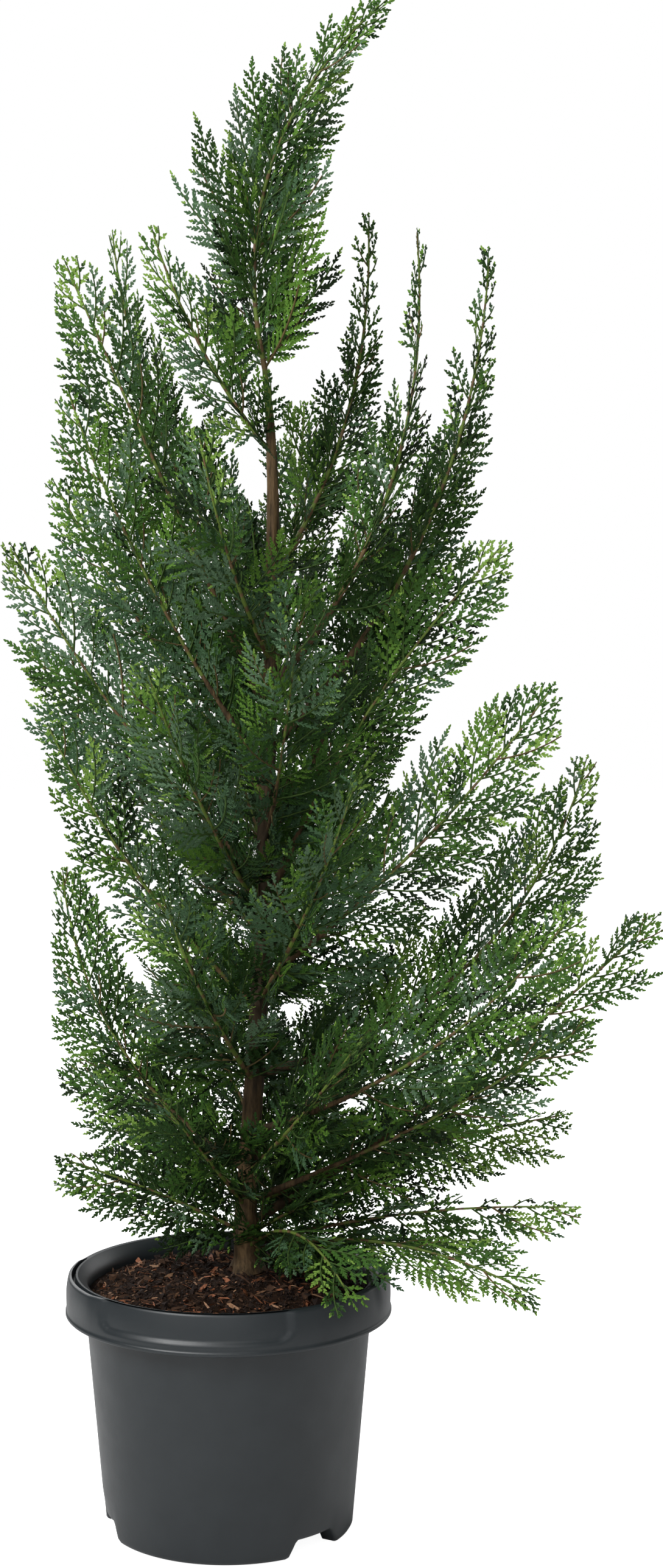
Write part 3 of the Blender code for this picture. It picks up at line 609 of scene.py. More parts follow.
@dataclass
class Peat:
    """The peat in the pot: a rough heaped bed with crumbs, slivers of wood and fibres on it."""
    radius: float = 0.1034
    edge_height: float = 0.176
    crown_height: float = 0.1868
    centre: tuple[float, float] = (0.0128, 0.010)
    floor_height: float = 0.0145
    floor_radius: float = 0.089
    crumbs: int = 3000
    slivers: int = 760
    fibres: int = 420
    clods: int = 90
    brown_crumbs: float = 0.24       # share of them
    rings: int = 44
    turns: int = 150
    relief: tuple[tuple[float, float, float], ...] = ((55, 3.1, 0.0030), (190, 7.7, 0.0019))
    dice: np.random.Generator = field(default_factory=lambda: np.random.default_rng(SEED))

    def height(self, x: float, y: float) -> float:
        """Height of the bed's rough surface at a place."""
        share = min(math.hypot(x - self.centre[0] * 0.6, y - self.centre[1] * 0.6) / self.radius, 1.0)
        rise = self.crown_height - self.edge_height
        mound = self.edge_height + rise * math.cos(share * math.pi / 2) ** 0.8
        lumps, crumbs = (noise.noise(Vector((x * scale, y * scale, layer))) * relief
                         for scale, layer, relief in self.relief)
        return mound + (lumps + crumbs) * smooth_step(-share, -1.0, -0.9)

    def build_bed(self) -> Object:
        """Spins a closed plug and roughens its top."""
        line = [(self.radius * step / self.rings, self.edge_height) for step in range(self.rings + 1)]
        bm = spun(line + [(self.floor_radius, self.floor_height), (0, self.floor_height)], self.turns)
        for vert in bm.verts:
            if vert.co.z > self.floor_height + 0.01:
                vert.co.z = self.height(vert.co.x, vert.co.y)
        bmesh.ops.recalc_face_normals(bm, faces=bm.faces)
        bed = piece_from_bmesh("peat_bed", bm)
        bed.data.materials.append(PEAT.material())
        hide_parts("soil")
        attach(bed, BODY)
        return bed

    def turned(self, count: int, tilt: float) -> np.ndarray:
        """Turn matrices about Z with a random tilt, in degrees, out of level."""
        about = self.dice.random(count) * math.tau
        lean = np.radians(self.dice.normal(0, tilt, count))
        roll = np.radians(self.dice.normal(0, tilt * 2, count))
        return np.array([Matrix.Rotation(a, 3, "Z") @ Matrix.Rotation(b, 3, "Y") @ Matrix.Rotation(c, 3, "X")
                         for a, b, c in zip(about, lean, roll)])

    def scattered(self, shapes: np.ndarray, tilt: float, lift: float, margin: float) -> np.ndarray:
        """Turns shapes at random and lays them over the bed.

        Args:
            shapes: corners about each shape's own middle, as shapes by corners by 3.
            tilt: spread of their lean, in degrees.
            lift: height of each over the bed's surface.
            margin: how far they stay from the bed's edge.

        Returns:
            The corners where they lie.
        """
        count = len(shapes)
        points = np.einsum("nij,nkj->nki", self.turned(count, tilt), shapes)
        out = np.sqrt(self.dice.random(count)) * (self.radius - margin)
        turn = self.dice.random(count) * math.tau
        spots = np.stack([out * np.cos(turn), out * np.sin(turn)], axis=1)
        heights = [self.height(x, y) + lift for x, y in spots]
        return points + np.column_stack([spots, heights])[:, None, :]

    def litter(self, clump: Clump, name: str, finishes: Sequence[Finish],
               smooth: bool = False) -> Object:
        """Joins one kind of litter in a piece with its finishes."""
        piece = clump.build(name, smooth)
        for finish in finishes:
            piece.data.materials.append(finish.material())
        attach(piece, BODY)
        return piece

    def build_crumbs(self) -> Object:
        """Rough little lumps: eight-faced, each of its own shape and size."""
        corners = np.array([(1, 0, 0), (0, 1, 0), (-1, 0, 0), (0, -1, 0), (0, 0, 0.8), (0, 0, -0.8)], float)
        sides = ((0, 1), (1, 2), (2, 3), (3, 0))
        faces = np.array([(a, b, 4) for a, b in sides] + [(b, a, 5) for a, b in sides])
        clump = Clump()
        for count, low, high in ((self.crumbs, 0.0007, 0.0021), (self.clods, 0.0025, 0.0055)):
            size = low + (high - low) * self.dice.random(count) ** 2
            shape = corners[None] * self.dice.uniform(0.6, 1.25, (count, 6, 1)) * size[:, None, None]
            shape = shape + self.dice.normal(0, 0.16, (count, 6, 3)) * size[:, None, None]
            points = self.scattered(shape, 30, 0.0, high * 1.2) + size[:, None, None] * (0, 0, 0.35)
            brown = (self.dice.random((count, 1)) < self.brown_crumbs).astype(int)
            clump.add(points, ((faces, brown),))
        return self.litter(clump, "peat_crumbs", (CRUMB_DARK, CRUMB_BROWN))

    def build_slivers(self) -> Object:
        """Flat splinters of wood with pointed ends, lying every way."""
        count = self.slivers
        length = 0.003 + 0.013 * self.dice.random(count) ** 2.2
        width = length * self.dice.uniform(0.10, 0.26, count) + 0.0003
        thick = width * self.dice.uniform(0.2, 0.4, count)
        corners = np.array([(-1, 0, 0), (-0.6, 0.8, 0.5), (-0.6, -1, 0.4), (-0.6, 0, -0.6),
                            (0.5, 1, 0.4), (0.5, -0.7, 0.5), (0.5, 0, -0.6), (1, 0.2, 0)], float)
        faces = np.array([(0, 2, 1), (0, 1, 3), (0, 3, 2), (7, 4, 5), (7, 6, 4), (7, 5, 6),
                          (1, 2, 5), (1, 5, 4), (2, 3, 6), (2, 6, 5), (3, 1, 4), (3, 4, 6)])
        size = np.stack([length / 2, width / 2, thick], axis=1)
        shape = corners[None] * size[:, None, :]
        shape = shape + self.dice.normal(0, 0.12, (count, 8, 3)) * width[:, None, None]
        shape[:, :, 2] -= (corners[None, :, 0] ** 2) * (length * self.dice.uniform(0, 0.12, count))[:, None]
        points = self.scattered(shape, 24, 0.0009, 0.010)
        tint = self.dice.choice(3, (count, 1), p=(0.50, 0.30, 0.20))
        clump = Clump()
        clump.add(points, ((faces, tint),))
        return self.litter(clump, "wood_slivers", (CRUMB_BROWN, SLIVER_RED, SLIVER_PALE))

    def build_fibres(self) -> Object:
        """Thin curled strands, three-sided and pointed at both ends."""
        count = self.fibres
        steps = 7
        length = 0.006 + 0.016 * self.dice.random(count)
        curl = self.dice.normal(0, 1.1, count)
        shares = np.linspace(0, 1, steps)
        bend = curl[:, None] * (shares[None] - 0.5)
        along = np.stack([np.cos(bend), np.sin(bend), np.zeros_like(bend)], axis=2)
        line = np.cumsum(along, axis=1) * (length / steps)[:, None, None]
        line -= line.mean(axis=1, keepdims=True)
        hump = self.dice.uniform(-0.2, 0.5, count)
        line[:, :, 2] += np.sin(math.pi * shares)[None] * (length * hump * 0.25)[:, None]
        radius = 0.00018 * np.sin(math.pi * np.clip(shares, 0.04, 0.96)) + 0.00003
        ring = np.array([(0, math.cos(a), math.sin(a)) for a in (0, math.tau / 3, 2 * math.tau / 3)])
        shape = line[:, :, None, :] + ring[None, None] * radius[None, :, None, None]
        points = self.scattered(shape.reshape(count, -1, 3), 12, 0.0016, 0.012)
        quads = np.array([(3 * s + k, 3 * s + (k + 1) % 3, 3 * s + 3 + (k + 1) % 3, 3 * s + 3 + k)
                          for s in range(steps - 1) for k in range(3)])
        ends = np.array([(0, 2, 1), (3 * steps - 3, 3 * steps - 2, 3 * steps - 1)])
        tint = self.dice.choice(3, (count, 1), p=(0.62, 0.26, 0.12))
        clump = Clump()
        clump.add(points, ((quads, tint), (ends, tint)))
        return self.litter(clump, "peat_fibres", (CRUMB_DARK, CRUMB_BROWN, SLIVER_RED), smooth=True)

    def build(self) -> list[Object]:
        """Builds the bed and everything that lies on it."""
        return [self.build_bed(), self.build_crumbs(), self.build_slivers(), self.build_fibres()]


# Wood

@dataclass(frozen=True)
class Station:
    """Where the trunk's centre line is at one height, and how thick the trunk is there."""
    height: float
    right: float
    back: float
    radius: float


TRUNK = tuple(Station(*row) for row in (
    (0.1871, 0.0128, 0.010, 0.0128), (0.197, 0.0128, 0.010, 0.0096), (0.206, 0.0125, 0.010, 0.0086),
    (0.219, 0.0125, 0.010, 0.0098), (0.234, 0.0126, 0.010, 0.0079), (0.332, 0.0190, 0.008, 0.0072),
    (0.429, 0.0248, 0.006, 0.0068), (0.580, 0.0300, 0.004, 0.0058), (0.726, 0.0336, 0.002, 0.0048),
    (0.804, 0.0324, 0.000, 0.0034), (0.850, 0.0282, 0.000, 0.0020)))


class Coat(Enum):
    """Which tints a limb's sprays are dealt, as shares of the seven in their order. The SHADE share is
    painted shade; DARK deals mostly DEEP and SHADE, which on the low limbs is painted shade under the crown.
    """
    GREEN = (0.05, 0.30, 0.06, 0.12, 0.33, 0.12, 0.02)
    GLAUCOUS = (0.02, 0.11, 0.28, 0.35, 0.17, 0.06, 0.01)
    DARK = (0.12, 0.46, 0.03, 0.08, 0.24, 0.06, 0.01)
    LIGHT = (0.05, 0.26, 0.10, 0.14, 0.29, 0.13, 0.03)


@dataclass(frozen=True)
class Limb:
    """One line from the trunk to a furthest tip: a bare bough, then the foliage it carries."""
    name: str
    start: float             # height at which it leaves the trunk
    turn: float              # direction of the tip about the pot's axis, degrees from +X
    reach: float             # distance of the tip from the pot's axis
    tip: float               # height of the tip
    bow: float = -0.05       # rise of the line's middle over its chord, against its length
    bough: float = 0.0       # share of the line that is bare bough, none on short limbs
    spray: float = 0.094     # length of the longest spray
    roll: float = 90.0       # the sprays' plane: 0 lies flat, 90 stands upright; 0 faces -Y on the leader
    tip_blade: float = 0.036    # length of a side spray at the very tip
    taper: float = 0.42      # growth of the side sprays back from the tip
    spill: float = 0.008     # how far a spray may pass the line's own furthest point
    leafy: float = 0.07      # share of the line at which the first sprays stand
    spread: float = 18.0     # how far sprays turn out of the limb's own plane, in degrees
    crowd: float = 1.0       # how closely its sprays stand, against the common rule
    coat: Coat = Coat.GREEN

    def curve(self) -> Curve:
        """The limb's whole line as a function of its share, from the trunk's centre to the tip."""
        turn = math.radians(self.turn)
        start = trunk_point(min(self.start, TRUNK[-1].height))
        start.z = self.start
        tip = Vector((self.reach * math.cos(turn), self.reach * math.sin(turn), self.tip))
        chord = tip - start
        side = UP.cross(chord).normalized()
        lift = chord.cross(side).normalized()
        middle = (start + tip) / 2 + lift * 2 * self.bow * chord.length
        return lambda share: bent_line(start, middle, tip, share)

    def length(self) -> float:
        """Length of the limb's line."""
        points = self.points(0.0, 1.0, 21)
        return sum((after - before).length for before, after in zip(points, points[1:]))

    def points(self, first: float, last: float, count: int) -> list[Vector]:
        """Points along the line from one share to another."""
        curve = self.curve()
        return [curve(first + (last - first) * step / (count - 1)) for step in range(count)]

    def foot_radius(self) -> float:
        """Radius of the limb where it leaves the trunk."""
        if self.bough:
            return BOUGH_RADIUS_PER_LENGTH * self.length()
        return min(STEM_RADIUS + STEM_RADIUS_PER_LENGTH * self.length(), TRUNK[-1].radius)

    def tip_radius(self) -> float:
        """Radius of the limb at the end of its bare bough."""
        return self.foot_radius() * BOUGH_TIP_SHARE if self.bough else self.foot_radius()


BOUGH_RADIUS_PER_LENGTH = 0.0105
STEM_RADIUS = 0.0008
STEM_RADIUS_PER_LENGTH = 0.0055
BOUGH_TIP_SHARE = 0.45
STEM_END = 0.985             # share of the limb's line at which its last spray takes over
LEADER = Limb("leader", 0.8505, 0, 0.113, 1.1085, bow=0.148, spray=0.094, roll=0, tip_blade=0.022,
              taper=0.38, spill=0.018, leafy=0.0, spread=60.0, crowd=2.0, coat=Coat.LIGHT)
SHOOT = {"tip_blade": 0.014, "taper": 0.24, "spill": 0.004, "leafy": 0.20, "spread": 60.0, "crowd": 1.3,
         "coat": Coat.DARK}
LEFT = {"coat": Coat.GLAUCOUS}
# The low limbs' dark coat is painted shade under the crown.
LOW = {"crowd": 1.5, "spread": 58.0, "coat": Coat.DARK}
ROUND = {"spread": 58.0, "crowd": 1.4, "leafy": 0.03}
LIMBS = (
    LEADER,
    Limb("right_lowest", 0.201, 342, 0.230, 0.192, bow=0.10, spray=0.082, roll=30),
    Limb("right_foot", 0.212, 325, 0.100, 0.262, bow=0.03, spray=0.064, roll=40, crowd=1.5, coat=Coat.DARK),
    Limb("right_flat", 0.206, 354, 0.252, 0.244, bow=0.04, bough=0.30, spray=0.076),
    Limb("right_thin", 0.236, 15, 0.262, 0.292, bow=0.03, spray=0.090, tip_blade=0.048),
    Limb("right_strong_low", 0.240, 348, 0.264, 0.384, bow=-0.03, bough=0.32, spray=0.064),
    Limb("right_strong", 0.222, 6, 0.320, 0.449, bow=-0.03, bough=0.34, spray=0.074),
    Limb("right_fan_low", 0.292, 343, 0.259, 0.470, bow=-0.08, bough=0.30, spray=0.092, coat=Coat.LIGHT),
    Limb("right_fan", 0.335, 9, 0.269, 0.565, bow=-0.15, bough=0.30, spray=0.100, coat=Coat.LIGHT),
    Limb("right_mid", 0.405, 348, 0.237, 0.624, bow=-0.04, bough=0.30, spray=0.094, coat=Coat.LIGHT),
    Limb("right_shoulder", 0.455, 351, 0.200, 0.724, bow=0.05, bough=0.30, spray=0.080),
    Limb("right_back", 0.510, 25, 0.210, 0.859, bow=-0.03, bough=0.32, spray=0.056, **SHOOT),
    Limb("right_high", 0.575, 6, 0.191, 0.937, bow=-0.10, bough=0.30, spray=0.080, **SHOOT),
    Limb("right_plume", 0.620, 340, 0.144, 0.942, bow=-0.12, bough=0.28, roll=40, **SHOOT),
    Limb("right_inner", 0.700, 30, 0.119, 0.965, bow=-0.10, roll=60, **SHOOT),
    Limb("left_lowest", 0.215, 199, 0.124, 0.283, bow=0.02, spray=0.060, crowd=1.6, coat=Coat.DARK),
    Limb("left_lower", 0.245, 158, 0.131, 0.335, bow=0.0, spray=0.080, crowd=1.5, coat=Coat.DARK),
    Limb("left_low", 0.262, 175, 0.122, 0.485, bow=-0.12, bough=0.28, spray=0.074, crowd=1.4),
    Limb("left_mid_front", 0.385, 201, 0.134, 0.598, bow=-0.05, spray=0.062, spill=0.002, **LEFT),
    Limb("left_mid", 0.440, 159, 0.160, 0.650, bow=-0.03, spray=0.080, spill=0.002, **LEFT),
    Limb("left_wide", 0.480, 187, 0.154, 0.723, bow=-0.04, bough=0.28, spray=0.100, **LEFT),
    Limb("left_outer", 0.540, 160, 0.137, 0.770, bow=-0.02, **LEFT),
    Limb("left_shoulder", 0.560, 205, 0.120, 0.833, bow=-0.04, bough=0.27, spray=0.082, **LEFT),
    Limb("left_high", 0.600, 180, 0.115, 0.926, bow=0.0, bough=0.32, spray=0.078, coat=Coat.LIGHT),
    Limb("left_high_back", 0.670, 145, 0.104, 0.952, bow=-0.08, roll=60, tip_blade=0.024, coat=Coat.LIGHT),
    Limb("crown_left", 0.790, 211, 0.058, 0.944, bow=-0.05, spray=0.070, roll=30, tip_blade=0.024,
         coat=Coat.LIGHT),
    Limb("front_drape", 0.203, 308, 0.146, 0.200, bow=0.20, spray=0.058, roll=10),
    Limb("front_left_foot", 0.235, 250, 0.128, 0.345, bow=0.0, roll=20, **LOW),
    Limb("front_right_low", 0.262, 305, 0.171, 0.392, bow=-0.02, roll=20, coat=Coat.DARK, **ROUND),
    Limb("front_left_low", 0.330, 255, 0.151, 0.490, bow=-0.04, spray=0.108, roll=15, **LEFT, **ROUND),
    Limb("front_right", 0.390, 303, 0.171, 0.570, bow=-0.04, roll=15, **LEFT, **ROUND),
    Limb("front_left", 0.455, 250, 0.142, 0.640, bow=-0.04, roll=20, **LEFT, **ROUND),
    Limb("front_bough", 0.505, 293, 0.142, 0.698, bow=-0.05, bough=0.28, roll=10, **LEFT, **ROUND),
    Limb("front_high", 0.640, 262, 0.103, 0.800, bow=-0.06, spray=0.082, roll=10, **LEFT, **ROUND),
    Limb("back_foot", 0.225, 71, 0.138, 0.275, bow=0.02, roll=20, **LOW),
    Limb("back_right_low", 0.275, 55, 0.190, 0.400, bow=-0.03, roll=20, **ROUND),
    Limb("back_left_low", 0.300, 108, 0.160, 0.425, bow=-0.03, roll=20, **ROUND),
    Limb("back_mid", 0.355, 84, 0.172, 0.545, bow=-0.05, roll=15, **ROUND),
    Limb("back_right", 0.425, 52, 0.190, 0.640, bow=-0.05, bough=0.28, roll=25, **ROUND),
    Limb("back_left", 0.500, 105, 0.145, 0.735, bow=-0.05, roll=15, coat=Coat.LIGHT, **ROUND),
    Limb("back_high", 0.600, 66, 0.136, 0.830, bow=-0.06, roll=15, coat=Coat.LIGHT, **ROUND),
)


def trunk_point(height: float) -> Vector:
    """The trunk's centre at a height, on a smooth curve through its stations."""
    heights = np.array([station.height for station in TRUNK])
    place = int(np.clip(np.searchsorted(heights, height) - 1, 0, len(TRUNK) - 2))
    lower, upper = TRUNK[place], TRUNK[place + 1]
    before, after = TRUNK[max(place - 1, 0)], TRUNK[min(place + 2, len(TRUNK) - 1)]
    span = upper.height - lower.height
    share = (height - lower.height) / span
    start_slope = (upper.right - before.right) / (upper.height - before.height) * span
    end_slope = (after.right - lower.right) / (after.height - lower.height) * span
    right = (lower.right * (1 + 2 * share) * (1 - share) ** 2 + start_slope * share * (1 - share) ** 2
             + upper.right * share ** 2 * (3 - 2 * share) + end_slope * share ** 2 * (share - 1))
    back = lower.back + (upper.back - lower.back) * share
    return Vector((right, back, height))


def trunk_radius(height: float) -> float:
    """Radius of the trunk at a height."""
    return float(np.interp(height, [station.height for station in TRUNK],
                           [station.radius for station in TRUNK]))


@dataclass(frozen=True)
class LimbPart:
    """Part of a limb that is one tapering tube."""
    limb: Limb
    first: float             # share of the limb's line at which it begins
    last: float
    foot: float              # radius at its beginning
    tip: float
    ages: tuple[float, float]    # age of the wood at both ends

    def radius(self, share: float, place: Vector) -> float:
        """Radius at a share of the part, with its swellings."""
        swelling = 1 + 0.10 * noise.noise(place * 130) + 0.07 * math.sin(share * self.limb.length() * 420)
        return (self.foot + (self.tip - self.foot) * share) * swelling


@dataclass
class Wood:
    """Trunk, boughs and the green stems inside the foliage, all with the relief of their skin."""
    trunk_sides: int = 36
    trunk_pitch: float = 0.0028
    bough_sides: int = 12
    bough_pitch: float = 0.0035
    stem_sides: int = 7
    stem_pitch: float = 0.0032
    stem_root: float = -0.008        # share of the line at which a stem begins, inside the trunk
    joint_pitch: float = 0.0135      # from one sheathed joint to the next
    sheath: float = 0.36             # share of that length that the brown sheath covers
    sheath_age: float = 0.42         # how much older than the stem the sheath looks
    skin_relief: float = 0.13        # of a limb's radius
    stem_tip_radius: float = 0.0006
    bark_relief: float = 0.00075
    graft: tuple[float, float] = (0.200, 0.238)     # heights between which it is ringed
    graft_ease: float = 0.006
    flare_height: float = 0.014      # of the roots' ridges over the soil
    flare_depth: float = 0.0016
    brown_below: float = 0.790       # the trunk is all bark below this height
    green_above: float = 0.856
    darkens: tuple[float, float] = (0.27, 0.36)     # heights between which painted shade darkens the bark, inside the crown
    lightens: tuple[float, float] = (0.45, 0.78)    # heights between which that painted shade fades again

    def build_trunk(self) -> Object:
        """The trunk, with fissured bark, root flare, ringed graft and painted shade on its middle."""
        bm = bmesh.new()
        age = bm.verts.layers.float.new("age")
        count = int((TRUNK[-1].height - TRUNK[0].height) / self.trunk_pitch)
        path = [trunk_point(TRUNK[0].height + (TRUNK[-1].height - TRUNK[0].height) * step / count)
                for step in range(count + 1)]
        radii = [trunk_radius(point.z) for point in path]
        rings = LimbTube(self.trunk_sides).grow(bm, path, radii, level=True)
        for centre, radius, ring in zip(path, radii, rings):
            old = 1 - smooth_step(centre.z, self.brown_below, self.green_above)
            # painted shade: darker bark on the trunk's middle, where the crown hangs round it
            dark = smooth_step(centre.z, *self.darkens) * (1 - smooth_step(centre.z, *self.lightens))
            for vert in ring:
                out = (vert.co - centre).normalized()
                vert.co += out * self.bark_lift(out, centre.z, radius) * (0.25 + 0.75 * old)
                vert[age] = old + dark
        bmesh.ops.recalc_face_normals(bm, faces=bm.faces)
        trunk = piece_from_bmesh("trunk_bark", bm, sharp_angle=60.0)
        trunk.data.materials.append(BARK.material())
        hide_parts("trunk")
        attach(trunk, BODY)
        return trunk

    def bark_lift(self, out: Vector, height: float, radius: float) -> float:
        """How far the bark stands out or lies in at one place of the trunk."""
        fibres = noise.noise(Vector((out.x * radius * 420, out.y * radius * 420, height * 62)))
        plates = noise.noise(Vector((out.x * 3.2, out.y * 3.2, height * 38 + 9.0)))
        rings = noise.noise(Vector((out.x * 1.5, out.y * 1.5, height * 420)))
        graft = smooth_step(height, self.graft[0], self.graft[0] + self.graft_ease) * smooth_step(
            -height, -self.graft[1], -self.graft[1] + self.graft_ease)
        lift = (fibres * 0.65 + plates * 0.55) * self.bark_relief
        lift += graft * rings * self.bark_relief * 1.3
        turn = math.atan2(out.y, out.x)
        flare = smooth_step(-height, -(TRUNK[0].height + self.flare_height), -TRUNK[0].height)
        return lift + flare * self.flare_depth * (
            0.3 + math.sin(3 * turn + 0.8) + 0.5 * math.sin(5 * turn))

    def build_boughs(self) -> Object:
        """Every bare bough, from inside the trunk to where its foliage begins."""
        parts = [LimbPart(limb, 0.0, limb.bough + 0.01, limb.foot_radius(), limb.tip_radius(), (1.7, 0.55))
                 for limb in LIMBS if limb.bough]
        boughs = self.build_limbs("bough_bark", parts, LimbTube(self.bough_sides), self.bough_pitch,
                                  BARK, 70.0)
        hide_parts(*["bough_" + limb.name for limb in LIMBS if limb.bough])
        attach(boughs, BODY)
        return boughs

    def build_stems(self) -> Object:
        """The stem inside each mass of foliage, yellow-green with brown sheaths at its joints."""
        parts = [LimbPart(limb, limb.bough or self.stem_root, STEM_END, limb.tip_radius(),
                          self.stem_tip_radius, (0.46, 0.08)) for limb in LIMBS]
        stems = self.build_limbs("green_stems", parts, LimbTube(self.stem_sides), self.stem_pitch,
                                 TWIG_SKIN, 80.0)
        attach(stems, BODY)
        return stems

    def build_limbs(self, name: str, parts: Sequence[LimbPart], tube: LimbTube, pitch: float,
                    finish: Finish, sharp_angle: float) -> Object:
        """Grows parts of limbs as tubes with swollen joints and joins them in one piece.

        Args:
            name: the piece's name.
            parts: the parts of limbs.
            tube: the tube with its number of sides.
            pitch: distance from ring to ring.
            finish: the wood's skin.
            sharp_angle: degrees past which an edge stays sharp.

        Returns:
            The piece with its material.
        """
        bm = bmesh.new()
        age = bm.verts.layers.float.new("age")
        for part in parts:
            length = part.limb.length()
            count = max(int(length * (part.last - part.first) / pitch), 4)
            path = part.limb.points(part.first, part.last, count + 1)
            radii = [part.radius(step / count, point) for step, point in enumerate(path)]
            for step, (centre, ring) in enumerate(zip(path, tube.grow(bm, path, radii))):
                old = part.ages[0] + (part.ages[1] - part.ages[0]) * step / count
                place = length * (part.first + (part.last - part.first) * step / count) / self.joint_pitch
                old += self.sheath_age * (place % 1.0 < self.sheath)
                for vert in ring:
                    out = vert.co - centre
                    vert.co += out * self.skin_relief * noise.noise(vert.co * 900)
                    vert[age] = old
        bmesh.ops.recalc_face_normals(bm, faces=bm.faces)
        piece = piece_from_bmesh(name, bm, sharp_angle)
        piece.data.materials.append(finish.material())
        return piece


# Foliage

@dataclass(frozen=True)
class Lines:
    """Straight pieces of limbs, each with a radius about it."""
    starts: np.ndarray
    ends: np.ndarray
    radii: np.ndarray

    @staticmethod
    def along(points: Sequence[Vector], radius: float = 0.0) -> "Lines":
        """The pieces between points that follow each other."""
        array = np.array([tuple(point) for point in points])
        return Lines(array[:-1], array[1:], np.full(len(array) - 1, radius))

    def distance(self, spots: np.ndarray) -> np.ndarray:
        """Distance from each spot to the nearest piece, less the piece's radius."""
        spans = self.ends - self.starts
        offsets = spots[:, None, :] - self.starts[None, :, :]
        shares = np.einsum("ijk,jk->ij", offsets, spans) / np.einsum("jk,jk->j", spans, spans)
        nearest = self.starts + np.clip(shares, 0, 1)[:, :, None] * spans
        return (np.linalg.norm(spots[:, None, :] - nearest, axis=2) - self.radii).min(axis=1)


@dataclass(frozen=True)
class Room:
    """The air that one limb's foliage may fill: nearer its own stem, within reach, off pot and wood."""
    own: Lines
    others: Lines
    woods: Lines
    out_limit: float
    up_limit: float
    line_points: int = 10
    line_start: float = 0.10         # share of a limb's line at which its own room begins
    up_spill: float = 0.005
    overlap: float = 0.006           # how far neighbours' sprays may mingle
    wood_clearance: float = 0.0008
    pot_clearance: float = 0.0025

    @staticmethod
    def of(limb: Limb) -> "Room":
        """The room of one limb among all the others."""
        stems = {other.name: Lines.along(other.points(Room.line_start, 1.0, Room.line_points))
                 for other in LIMBS}
        own = stems.pop(limb.name)
        heights = np.linspace(TRUNK[0].height, TRUNK[-1].height, 40)
        trunk = [Lines.along([trunk_point(low), trunk_point(high)], trunk_radius(low))
                 for low, high in zip(heights, heights[1:])]
        boughs = [Lines.along(other.points(0.0, other.bough, 6), other.foot_radius() * 0.8)
                  for other in LIMBS if other.bough and other is not limb]
        return Room(own, stacked(Lines, list(stems.values())), stacked(Lines, trunk + boughs),
                    float(np.hypot(own.ends[:, 0], own.ends[:, 1]).max()) + limb.spill,
                    float(own.ends[:, 2].max()) + min(limb.spill, Room.up_spill))

    def holds(self, spots: np.ndarray) -> np.ndarray:
        """True for each spot that lies in the room."""
        out = np.hypot(spots[:, 0], spots[:, 1])
        over_rim = spots[:, 2] > POT.height + self.pot_clearance
        outside = out > POT.collar_radius + self.pot_clearance
        inside = (out < POT.rim_inner_radius - self.pot_clearance) & (
            spots[:, 2] > PEAT_BED.crown_height + self.pot_clearance)
        fits = (over_rim | outside | inside) & (out < self.out_limit) & (spots[:, 2] < self.up_limit)
        fits &= self.others.distance(spots) - self.own.distance(spots) > -self.overlap
        return fits & (self.woods.distance(spots) > self.wood_clearance)


@dataclass(frozen=True)
class Spray:
    """One flat spray: a rachis on a bent line, and the plane that its branchlets lie in."""
    root: np.ndarray
    middle: np.ndarray
    tip: np.ndarray
    normal: np.ndarray
    size: float
    limb_share: float

    def point(self, shares: np.ndarray) -> np.ndarray:
        """Points on the rachis."""
        return bent_line(self.root, self.middle, self.tip, shares[:, None])

    def direction(self, shares: np.ndarray) -> np.ndarray:
        """The rachis's direction at those shares."""
        share = shares[:, None]
        return unit((self.middle - self.root) * (1 - share) + (self.tip - self.middle) * share)


